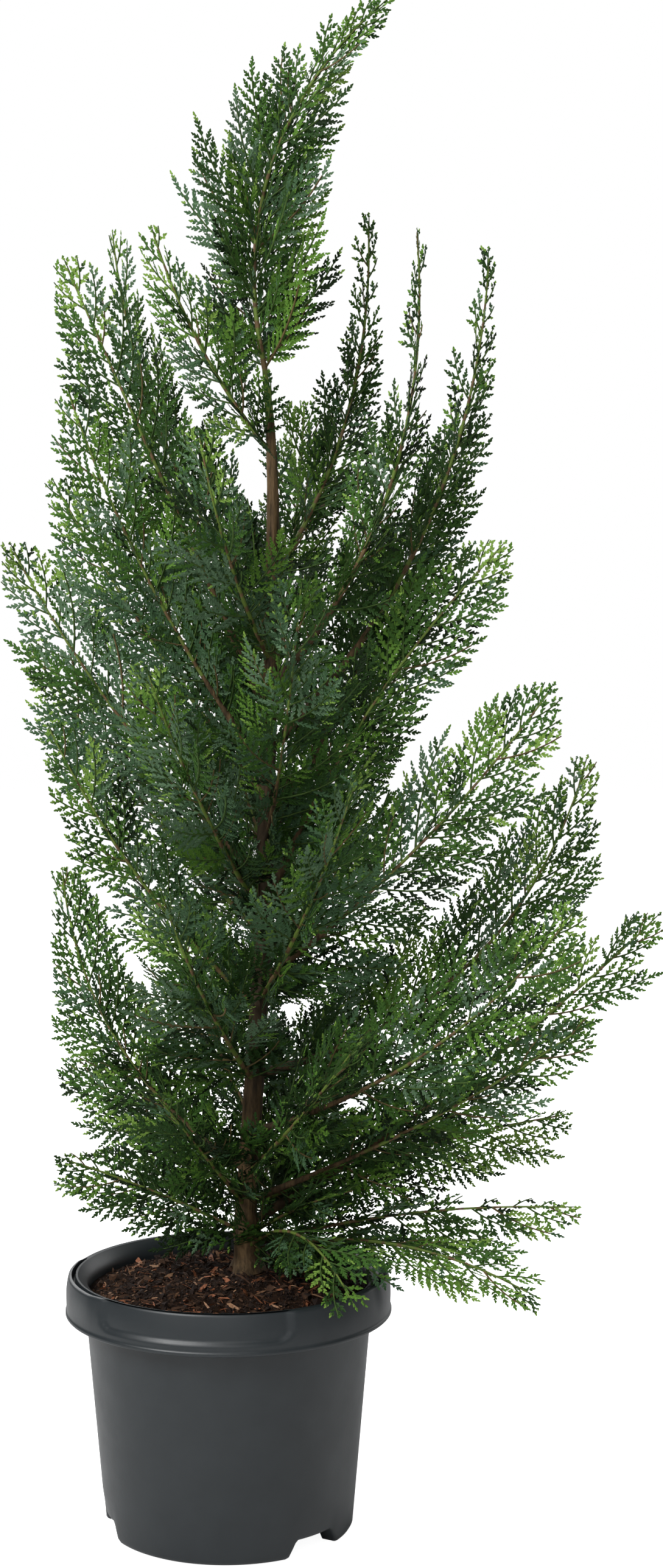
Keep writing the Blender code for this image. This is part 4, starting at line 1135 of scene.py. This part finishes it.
@dataclass
class SprayRule:
    """How sprays grow on a limb: the solids' rule with more and finer shoots."""
    pitch: float = 0.0086            # from one spray to the next along the limb
    angles: tuple[float, float] = (54.0, 24.0)
    sway: float = 4.0
    bend: float = 16.0               # how far a rachis turns towards the limb's tip, each way
    rachis_share: float = 0.86       # of the spray's length; its last branchlet makes the rest
    shortest: float = 0.012
    core_share: float = 0.66         # of the limb, where short sprays stand all round the stem
    core_pitch: float = 0.0076
    core_sizes: tuple[float, float] = (0.050, 0.022)    # their length at the limb's foot and at its tip
    core_youth_and_shade: float = 0.4          # painted shade: how far along the limb their colour counts, against their place, so that these inner sprays take more dark shade tints and fewer fresh ones
    stray: float = 0.3               # of the distance from spray to spray
    gather: float = 1.22             # how much closer sprays stand towards the limb's foot
    long_every: int = 3              # every so many sprays one reaches the limb's full width
    long_sizes: tuple[float, float] = (0.84, 1.0)
    short_sizes: tuple[float, float] = (0.58, 0.84)
    trials: tuple[float, ...] = (1.0, 0.85, 0.7, 0.56, 0.44, 0.33)
    turns: tuple[float, ...] = (0.0, 28.0, -28.0)

    def grow(self, limb: Limb, room: Room, dice: np.random.Generator) -> list[Spray]:
        """Grows every spray of a limb that its room holds.

        Args:
            limb: the limb.
            room: the air it may fill.
            dice: the source of chance.

        Returns:
            The sprays, foot first.
        """
        points = limb.points(0.0, 1.0, 61)
        length = limb.length()
        bare = limb.leafy
        count = max(int(length * (1 - bare) * limb.crowd / self.pitch), 8)
        steps = [max(index + dice.uniform(-self.stray, self.stray), 0.0) / count for index in range(count)]
        places = [bare + (STEM_END - bare) * step ** self.gather for step in steps]
        core = int(length * self.core_share * limb.crowd / self.core_pitch)
        places += [self.core_share * (index + dice.uniform(-self.stray, self.stray)) / core
                   for index in range(core)]
        sprays = []
        for index, share in enumerate(places):
            inner = index >= count
            spot = max(share, 0.0) * (len(points) - 1)
            place = min(int(spot), len(points) - 2)
            root = points[place].lerp(points[place + 1], spot - place)
            along = (points[place + 1] - points[place]).normalized()
            turn = limb.roll + 180 * (index % 2) + dice.uniform(-limb.spread, limb.spread)
            angle = np.interp(share, (0, 1), self.angles) + dice.uniform(-self.sway, self.sway)
            size = min(limb.spray, limb.tip_blade + limb.taper * length * (1 - share))
            size *= dice.uniform(*(self.short_sizes if index % self.long_every else self.long_sizes))
            if inner:
                turn = dice.uniform(0, 360)
                size = float(np.interp(share, (0, 1), self.core_sizes)) * dice.uniform(0.7, 1.0)
            for shorter in self.trials:
                made = [self.spray(root, along, turn + extra, angle, size * shorter,
                                   share * (self.core_youth_and_shade if inner else 1.0), limb is LEADER)
                        for extra in self.turns]
                fitting = [spray for spray in made if self.fits(spray, room)]
                if fitting:
                    sprays.append(fitting[0])
                    break
                if size * shorter < self.shortest:
                    break
        along = (points[-1] - points[-4]).normalized()
        size = (points[-1] - points[-4]).length + limb.spill * 0.6
        sprays.append(self.spray(points[-4], along, limb.roll, 2.0, size, 1.0, limb is LEADER))
        return sprays

    def spray(self, root: Vector, along: Vector, turn: float, angle: float, size: float,
              share: float, upright: bool) -> Spray:
        """One spray with its rachis bent towards the limb's tip."""
        side = (BACK if upright else UP).cross(along).normalized()
        out = Matrix.Rotation(math.radians(turn), 3, along) @ side
        leaving, arriving = (math.radians(angle + way * min(self.bend, angle)) for way in (0.6, -1.0))
        start = along * math.cos(leaving) + out * math.sin(leaving)
        end = along * math.cos(arriving) + out * math.sin(arriving)
        half = size * self.rachis_share / 2
        middle = root + start * half
        tip = middle + end * half
        return Spray(*(np.array(vector) for vector in (root, middle, tip, along.cross(out).normalized())),
                     size, share)

    def fits(self, spray: Spray, room: Room) -> bool:
        """True where the rachis stays in the limb's room."""
        return bool(np.all(room.holds(spray.point(np.array((0.35, 0.6, 0.85, 1.0))))))


@dataclass
class Branchlets:
    """Many branchlets as arrays: place, axes, length, bends and tints."""
    roots: np.ndarray
    along: np.ndarray
    across: np.ndarray
    normals: np.ndarray
    lengths: np.ndarray
    sweeps: np.ndarray               # bend within the plane, per metre
    droops: np.ndarray               # bend out of the plane, per metre
    tints: np.ndarray
    end_tints: np.ndarray

    def where(self, chosen: np.ndarray) -> "Branchlets":
        """Only the chosen ones."""
        return Branchlets(*(getattr(self, item.name)[chosen] for item in fields(self)))

    def point(self, share: float) -> np.ndarray:
        """The place of each branchlet's rib at a share of its length."""
        reach = (self.lengths * share)[:, None]
        return (self.roots + self.along * reach + self.across * self.sweeps[:, None] * reach ** 2
                + self.normals * self.droops[:, None] * reach ** 2)


@dataclass
class BranchletRule:
    """How branchlets stand along a rachis, on both sides of it by turns."""
    pitch: float = 0.0039
    angles: tuple[float, float] = (47.0, 35.0)
    first: float = 0.07              # share of the rachis at which they begin
    width_share: float = 0.32        # longest branchlet against the spray's length
    least: float = 0.0045
    tilt: float = 5.0
    roll: float = 6.0
    cup: float = 7.0                 # both sides rise a little out of the spray's plane
    shorter: tuple[float, ...] = (1.0, 0.75, 0.5, 0.3)
    shade: tuple[tuple[float, float], ...] = ((0.34, 0.62), (0.70, 0.16))    # painted shade: root heights, and the chance there that a branchlet is dealt a dark shade tint
    same: float = 0.9                # share of branchlets in their spray's own tint
    fresh_gain: float = 1.3          # chance of a fresh spray past the middle of its limb
    young: tuple[float, float] = (0.10, 0.75)    # share of fresh ends at the foot, and its gain to the tip
    shortening: tuple[float, float] = (0.84, 1.0)
    sweeps: tuple[float, float] = (2.0, 9.0)
    droop: float = 4.0
    slenderness: float = 0.62        # how early branchlets shorten towards the spray's tip

    def grow(self, spray: Spray, coat: Coat, dice: np.random.Generator) -> Branchlets:
        """Every branchlet of a spray, and the one at its end.

        Args:
            spray: the spray.
            coat: the tints of its limb.
            dice: the source of chance.

        Returns:
            The branchlets as arrays.
        """
        rachis = np.linalg.norm(spray.tip - spray.root)
        count = max(int(rachis * (1 - self.first) / self.pitch), 3)
        shares = self.first + (1 - self.first) * np.arange(count + 1) / count
        shares[:-1] += dice.uniform(-0.2, 0.2, count) / count
        hands = np.where(np.arange(count + 1) % 2, 1.0, -1.0)
        tangents = spray.direction(shares)
        plane = unit(np.cross(spray.normal[None], tangents)) * hands[:, None]
        lifts = np.radians(dice.normal(self.cup, self.tilt, count + 1))
        side = plane * np.cos(lifts)[:, None] + spray.normal * np.sin(lifts)[:, None]
        angles = np.radians(np.interp(shares, (0, 1), self.angles) + dice.normal(0, 5, count + 1))
        angles[-1] = 0.0
        along = tangents * np.cos(angles)[:, None] + side * np.sin(angles)[:, None]
        facing = unit(np.cross(side, tangents) * -hands[:, None])
        across = np.cross(facing, along)
        rolls = np.radians(dice.normal(0, self.roll, count + 1))[:, None]
        across, facing = (across * np.cos(rolls) + facing * np.sin(rolls),
                          facing * np.cos(rolls) - across * np.sin(rolls))
        envelope = np.minimum(1.0, 0.5 + 1.7 * shares) * (1 - shares * 0.94) ** self.slenderness
        lengths = self.least + spray.size * self.width_share * envelope * 1.15
        lengths = lengths * dice.uniform(*self.shortening, count + 1)
        lengths[-1] = max(spray.size * 0.2, 0.007)
        forward = np.sign(np.einsum("ij,ij->i", tangents, across))
        tints, end_tints = self.deal(spray, coat, shares, dice)
        return Branchlets(spray.point(shares), along, across, facing, lengths,
                          forward * dice.uniform(*self.sweeps, count + 1),
                          dice.normal(0, self.droop, count + 1), tints, end_tints)

    def deal(self, spray: Spray, coat: Coat, shares: np.ndarray,
             dice: np.random.Generator) -> tuple[np.ndarray, np.ndarray]:
        """Tints of a spray's branchlets and of their ends, fresher towards the spray's tip, with painted
        shade: low down, near the spray's foot and near the limb's foot more of them are dealt SHADE or DEEP.
        """
        count = len(shares)
        main = dice.choice(len(Tint), p=coat.value)
        if coat is not Coat.DARK and dice.random() < self.fresh_gain * (spray.limb_share - 0.5):
            main = dice.choice((Tint.LEAF.value, Tint.FRESH.value, Tint.TIP.value))
        tints = np.where(dice.random(count) < self.same, main, dice.choice(len(Tint), count, p=coat.value))
        # painted shade: the chance of SHADE or DEEP falls with height, along the spray and along the limb
        shade_chance = np.interp(spray.root[2], *self.shade)
        inside = dice.random(count) < shade_chance - 0.6 * shares - 0.75 * spray.limb_share
        shaded = dice.choice((Tint.SHADE.value, Tint.DEEP.value), count)
        tints = np.where(inside, np.minimum(tints, shaded), tints)
        young = dice.random(count) < self.young[0] + self.young[1] * shares * spray.limb_share
        end_tints = np.where(young, dice.choice((Tint.FRESH.value, Tint.TIP.value), count), tints)
        return tints, end_tints

    def settle(self, branchlets: Branchlets, room: Room) -> Branchlets:
        """Shortens each branchlet until its room holds it, and drops those that never fit."""
        full = branchlets.lengths.copy()
        settled = np.zeros(len(full), bool)
        for shorter in self.shorter:
            trial = branchlets.lengths.copy()
            trial[~settled] = full[~settled] * shorter
            branchlets.lengths = trial
            fits = room.holds(branchlets.point(1.0)) & room.holds(branchlets.point(0.5))
            settled |= fits
        return branchlets.where(settled)


@dataclass
class LeafSheet:
    """The outline of a branchlet: a rib with blunt lobes of scale leaves on both sides, all ridged."""
    pitch: float = 0.00165           # from one lobe to the next
    rib: float = 0.0023
    lobe_width: float = 0.0017
    lobe_length: float = 0.0047
    ridge: float = 0.00050           # rise of the ridges over the outline
    edge: tuple[tuple[float, float], ...] = ((0.34, 0.47), (0.76, 0.38))    # along and half across a lobe
    angles: tuple[float, float] = (35.0, 25.0)
    rise: float = 7.0                # a lobe's tilt out of the plane, in degrees
    end_share: float = 0.80          # the last lobe's length against a full one's
    end_from: float = 0.62           # share of the branchlet past which it takes its end's tint
    sunk: float = 0.0008             # how far it starts inside the rachis
    most: int = 20
    variants: int = 3

    def lobes(self, length: float) -> int:
        """Number of lobes on a branchlet of that length."""
        return int(np.clip(round(length / self.pitch) - 1, 2, self.most))

    def nominal(self, lobes: int) -> float:
        """Length of the branchlet with that many lobes before it is fitted."""
        return self.pitch * (lobes + 1.4)

    def roof(self, root: np.ndarray, ahead: np.ndarray, aside: np.ndarray, length: float,
             width: float) -> np.ndarray:
        """Corners of one lobe: its root and tip on the ridge, then both edges below it."""
        lift = np.array((0.0, 0.0, self.ridge))
        corners = [root + lift, root + ahead * length + lift * 0.3]
        for hand in (1, -1):
            corners += [root + ahead * length * along + aside * width * half * hand
                        for along, half in self.edge]
        return np.array(corners)

    def outline(self, lobes: int, dice: np.random.Generator) -> tuple[np.ndarray, ...]:
        """Corners and faces of one branchlet.

        Args:
            lobes: how many lobes it has.
            dice: the source of chance.

        Returns:
            Corners along, across and out of the plane, the faces, and which of them belong
            to the branchlet's end.
        """
        length = self.nominal(lobes)
        ahead = np.array((1.0, 0.0, 0.0))
        aside = np.array((0.0, 1.0, 0.0))
        end = self.lobe_length * self.end_share
        roofs = [self.roof(np.array((-self.sunk, 0.0, 0.0)), ahead, aside, length * 0.52, self.rib),
                 self.roof(ahead * length * 0.44, ahead, aside, length * 0.34, self.rib * 0.95),
                 self.roof(ahead * (length - end), ahead, aside, end, self.lobe_width)]
        ends = [False, False, True]
        for lobe in range(lobes):
            share = (lobe + 0.5) / lobes
            hand = 1 if lobe % 2 else -1
            reach = self.lobe_length * min(1.0, 0.62 + 0.9 * share, 0.26 + 1.25 * (1 - share))
            reach *= dice.uniform(0.9, 1.05) * min(1.0, 0.55 + lobes / 16)
            angle = math.radians(float(np.interp(share, (0, 1), self.angles)) + dice.uniform(-3, 3))
            rise = math.sin(math.radians(dice.uniform(-self.rise, self.rise)))
            forward = np.array((math.cos(angle), hand * math.sin(angle), rise))
            sideways = np.array((-hand * math.sin(angle), math.cos(angle), 0.0))
            root = np.array((self.pitch * (lobe + 0.6), 0.0, -0.0001 * hand))
            roofs.append(self.roof(root, forward, sideways, reach, self.lobe_width))
            ends.append(share > self.end_from)
        faces = [[(6 * roof, 6 * roof + 4, 6 * roof + 5, 6 * roof + 1),
                  (6 * roof, 6 * roof + 1, 6 * roof + 3, 6 * roof + 2)] for roof in range(len(roofs))]
        return np.concatenate(roofs), np.array(faces).reshape(-1, 4), np.repeat(ends, 2)

    def lay(self, clump: Clump, branchlets: Branchlets, dice: np.random.Generator) -> None:
        """Lays a sheet on every branchlet and gathers them in a clump."""
        counts = np.array([self.lobes(length) for length in branchlets.lengths])
        kinds = np.arange(len(counts)) % self.variants
        for lobes in np.unique(counts):
            for kind in range(self.variants):
                corners, faces, at_end = self.outline(int(lobes), dice)
                group = branchlets.where((counts == lobes) & (kinds == kind))
                if not len(group.lengths):
                    continue
                along = corners[None, :, 0] * (group.lengths / self.nominal(int(lobes)))[:, None]
                across = corners[None, :, 1] + group.sweeps[:, None] * along ** 2
                out = corners[None, :, 2] + group.droops[:, None] * along ** 2
                points = (group.roots[:, None] + group.along[:, None] * along[:, :, None]
                          + group.across[:, None] * across[:, :, None]
                          + group.normals[:, None] * out[:, :, None])
                tints = np.where(at_end[None], group.end_tints[:, None], group.tints[:, None])
                clump.add(points, ((faces, tints),))


@dataclass(frozen=True)
class Section:
    """The limbs whose sprays are joined in one piece."""
    name: str
    limbs: tuple[str, ...]


SECTIONS = (
    Section("crown", ("leader", "crown_left", "left_high_back", "right_inner", "right_plume")),
    Section("right_low", ("right_lowest", "right_foot", "right_flat", "right_thin", "right_strong_low")),
    Section("right_strong", ("right_strong", "right_fan_low")),
    Section("right_mid", ("right_fan", "right_mid", "right_shoulder")),
    Section("right_high", ("right_back", "right_high")),
    Section("left_low", ("left_lowest", "left_lower", "left_low", "left_mid_front")),
    Section("left_mid", ("left_mid", "left_wide", "left_outer")),
    Section("left_high", ("left_shoulder", "left_high")),
    Section("front_low", ("front_drape", "front_left_foot", "front_right_low", "front_left_low")),
    Section("front_high", ("front_right", "front_left", "front_bough", "front_high")),
    Section("back_low", ("back_foot", "back_right_low", "back_left_low", "back_mid")),
    Section("back_high", ("back_right", "back_left", "back_high")),
)


@dataclass
class Foliage:
    """All the sprays of the crown, piece by piece, and the rachises that carry them."""
    sprays: SprayRule = field(default_factory=SprayRule)
    branchlets: BranchletRule = field(default_factory=BranchletRule)
    sheet: LeafSheet = field(default_factory=LeafSheet)
    rachis_sides: int = 3
    rachis_rings: int = 6
    rachis_foot: float = 0.00105
    rachis_tip: float = 0.00065
    brown_share: float = 0.12        # of the rachises
    twigs: Clump = field(default_factory=Clump)
    leaf_materials: list[Material] = field(default_factory=list)

    def build_section(self, section: Section) -> Object:
        """Grows the limbs of a section and joins their leaves in one piece."""
        if not self.leaf_materials:
            self.leaf_materials = [leaf.finish().material() for leaf in SCALE_LEAVES]
        clump = Clump()
        for limb in LIMBS:
            if limb.name in section.limbs:
                dice = np.random.default_rng(SEED + int(limb.tip * 1000) + int(limb.turn))
                room = Room.of(limb)
                grown = self.sprays.grow(limb, room, dice)
                self.add_rachises(grown, dice)
                branchlets = stacked(Branchlets, [self.branchlets.grow(spray, limb.coat, dice)
                                                  for spray in grown])
                self.sheet.lay(clump, self.branchlets.settle(branchlets, room), dice)
        piece = clump.build("sprays_" + section.name)
        for material in self.leaf_materials:
            piece.data.materials.append(material)
        nodes = ["foliage_" + name for name in section.limbs]
        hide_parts(*nodes)
        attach(piece, BODY)
        return piece

    def add_rachises(self, sprays: Sequence[Spray], dice: np.random.Generator) -> None:
        """Adds a thin tapering tube for each rachis to the clump of twigs."""
        shares = np.linspace(0, 1, self.rachis_rings)
        turns = math.tau * np.arange(self.rachis_sides) / self.rachis_sides
        rings = []
        for spray in sprays:
            along = spray.direction(shares)
            across = unit(np.cross(spray.normal[None], along))
            scale = 0.6 + 0.4 * min(spray.size / 0.09, 1.0)
            radii = np.interp(shares, (0, 1), (self.rachis_foot, self.rachis_tip)) * scale
            circle = (across[:, None] * np.cos(turns)[None, :, None]
                      + spray.normal[None, None] * np.sin(turns)[None, :, None])
            rings.append(spray.point(shares)[:, None] + circle * radii[:, None, None])
        sides = self.rachis_sides
        quads = np.array([(sides * ring + side, sides * ring + (side + 1) % sides,
                           sides * (ring + 1) + (side + 1) % sides, sides * (ring + 1) + side)
                          for ring in range(self.rachis_rings - 1) for side in range(sides)])
        brown = (dice.random(len(sprays)) < self.brown_share).astype(int)[:, None]
        self.twigs.add(np.array(rings).reshape(len(sprays), -1, 3), ((quads, brown),))

    def build_twigs(self) -> Object:
        """Joins every rachis in one piece."""
        piece = self.twigs.build("twigs", smooth=True)
        for finish in (RACHIS_GREEN, RACHIS_BROWN):
            piece.data.materials.append(finish.material())
        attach(piece, BODY)
        return piece


# Studio

@dataclass
class Studio:
    """Pale floor, soft lights and the camera at the photograph's place."""
    floor_radius: float = 6.0
    floor_drop: float = 0.0004
    camera_place: tuple[float, float, float] = (0.076, -1.947, 0.727)
    pitch: float = 0.09              # the camera looks down by this angle, in radians
    focal_share: float = 4414 / 2576
    sensor: float = 36.0
    world_light: float = 0.09
    world_colour: tuple[float, float, float, float] = (0.97, 0.99, 1.0, 1.0)
    lights_aim: tuple[float, float, float] = (0.06, 0.0, 0.55)
    floor_glow: float = 0.93         # keeps the paper white up to where it meets the backdrop

    def build_floor(self) -> Object:
        """A wide round of pale paper under the pot."""
        bm = bmesh.new()
        bmesh.ops.create_circle(bm, cap_ends=True, segments=96, radius=self.floor_radius,
                                matrix=Matrix.Translation((0, 0, -self.floor_drop)))
        floor = piece_from_bmesh("studio_floor", bm)
        paper = FLOOR_PAPER.material()
        graph = Graph(paper.node_tree)
        seen = graph.node("LightPath", {}).outputs["Is Camera Ray"]
        glow = graph.node("Math", {0: seen, 1: self.floor_glow}, operation="MULTIPLY")
        graph.feed(graph.tree.nodes["Principled BSDF"],
                   {"Emission Color": (1, 1, 1, 1), "Emission Strength": glow.outputs[0]})
        floor.data.materials.append(paper)
        return floor

    def build_world(self) -> None:
        """White behind the plant, and an even dimmer light from all round."""
        world = bpy.data.worlds.new("studio")
        world.use_nodes = True
        bpy.context.scene.world = world
        graph = Graph(world.node_tree)
        backdrop, output = (graph.tree.nodes[name] for name in ("Background", "World Output"))
        graph.feed(backdrop, {"Color": (1, 1, 1, 1)})
        dim = graph.node("Background", {"Color": self.world_colour, "Strength": self.world_light})
        mix = graph.node("MixShader", {0: graph.node("LightPath", {}).outputs["Is Camera Ray"],
                                       1: dim.outputs["Background"], 2: backdrop.outputs["Background"]})
        graph.feed(output, {"Surface": mix.outputs["Shader"]})

    def add_light(self, name: str, place: tuple[float, float, float], size: float, power: float) -> None:
        """One soft square light that faces the middle of the plant."""
        data = bpy.data.lights.new(name, "AREA")
        data.size = size
        data.energy = power
        light = bpy.data.objects.new(name, data)
        light.location = place
        light.rotation_euler = (Vector(self.lights_aim) - Vector(place)).to_track_quat("-Z", "Y").to_euler()
        bpy.context.scene.collection.objects.link(light)

    def build_camera(self) -> None:
        """The camera where the photograph was taken from."""
        data = bpy.data.cameras.new("camera")
        data.sensor_fit = "VERTICAL"
        data.sensor_height = self.sensor
        data.lens = self.sensor * self.focal_share
        camera = bpy.data.objects.new("camera", data)
        camera.location = self.camera_place
        camera.rotation_euler = (math.pi / 2 - self.pitch, 0, 0)
        bpy.context.scene.collection.objects.link(camera)
        bpy.context.scene.camera = camera

    def build(self) -> None:
        """Floor, world, lights and camera."""
        self.build_floor()
        self.build_world()
        for name, place, size, power in (
                ("key", (-1.5, -1.7, 2.2), 1.2, 84.0), ("fill", (1.9, -1.4, 1.1), 1.6, 3.0),
                ("front", (0.1, -2.3, 1.3), 1.4, 9.0), ("top", (0.2, 0.3, 2.6), 1.6, 16.0),
                ("back", (-1.2, 2.3, 1.7), 1.8, 34.0), ("back_right", (2.0, 1.9, 1.3), 1.8, 17.0)):
            self.add_light(name, place, size, power)
        self.build_camera()
        bpy.context.scene.view_settings.view_transform = "Standard"


POT = Pot()
PEAT_BED = Peat()


def keep_sizes() -> None:
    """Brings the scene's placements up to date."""
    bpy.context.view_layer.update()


def main() -> None:
    """Builds each part of the plant in order and says what was made."""
    logging.basicConfig(level=logging.INFO, format="%(name)s %(message)s")
    mottle_group()
    grain_group()
    pieces = [POT.build()]
    pieces += PEAT_BED.build()
    wood = Wood()
    pieces += [wood.build_trunk(), wood.build_boughs(), wood.build_stems()]
    foliage = Foliage()
    pieces += [foliage.build_section(section) for section in SECTIONS]
    pieces.append(foliage.build_twigs())
    for piece in pieces:
        triangles = sum(len(polygon.vertices) - 2 for polygon in piece.data.polygons)
        LOG.info("%s: %d triangles", piece.name, triangles)
    Studio().build()
    keep_sizes()


if __name__ == "__main__":
    main()
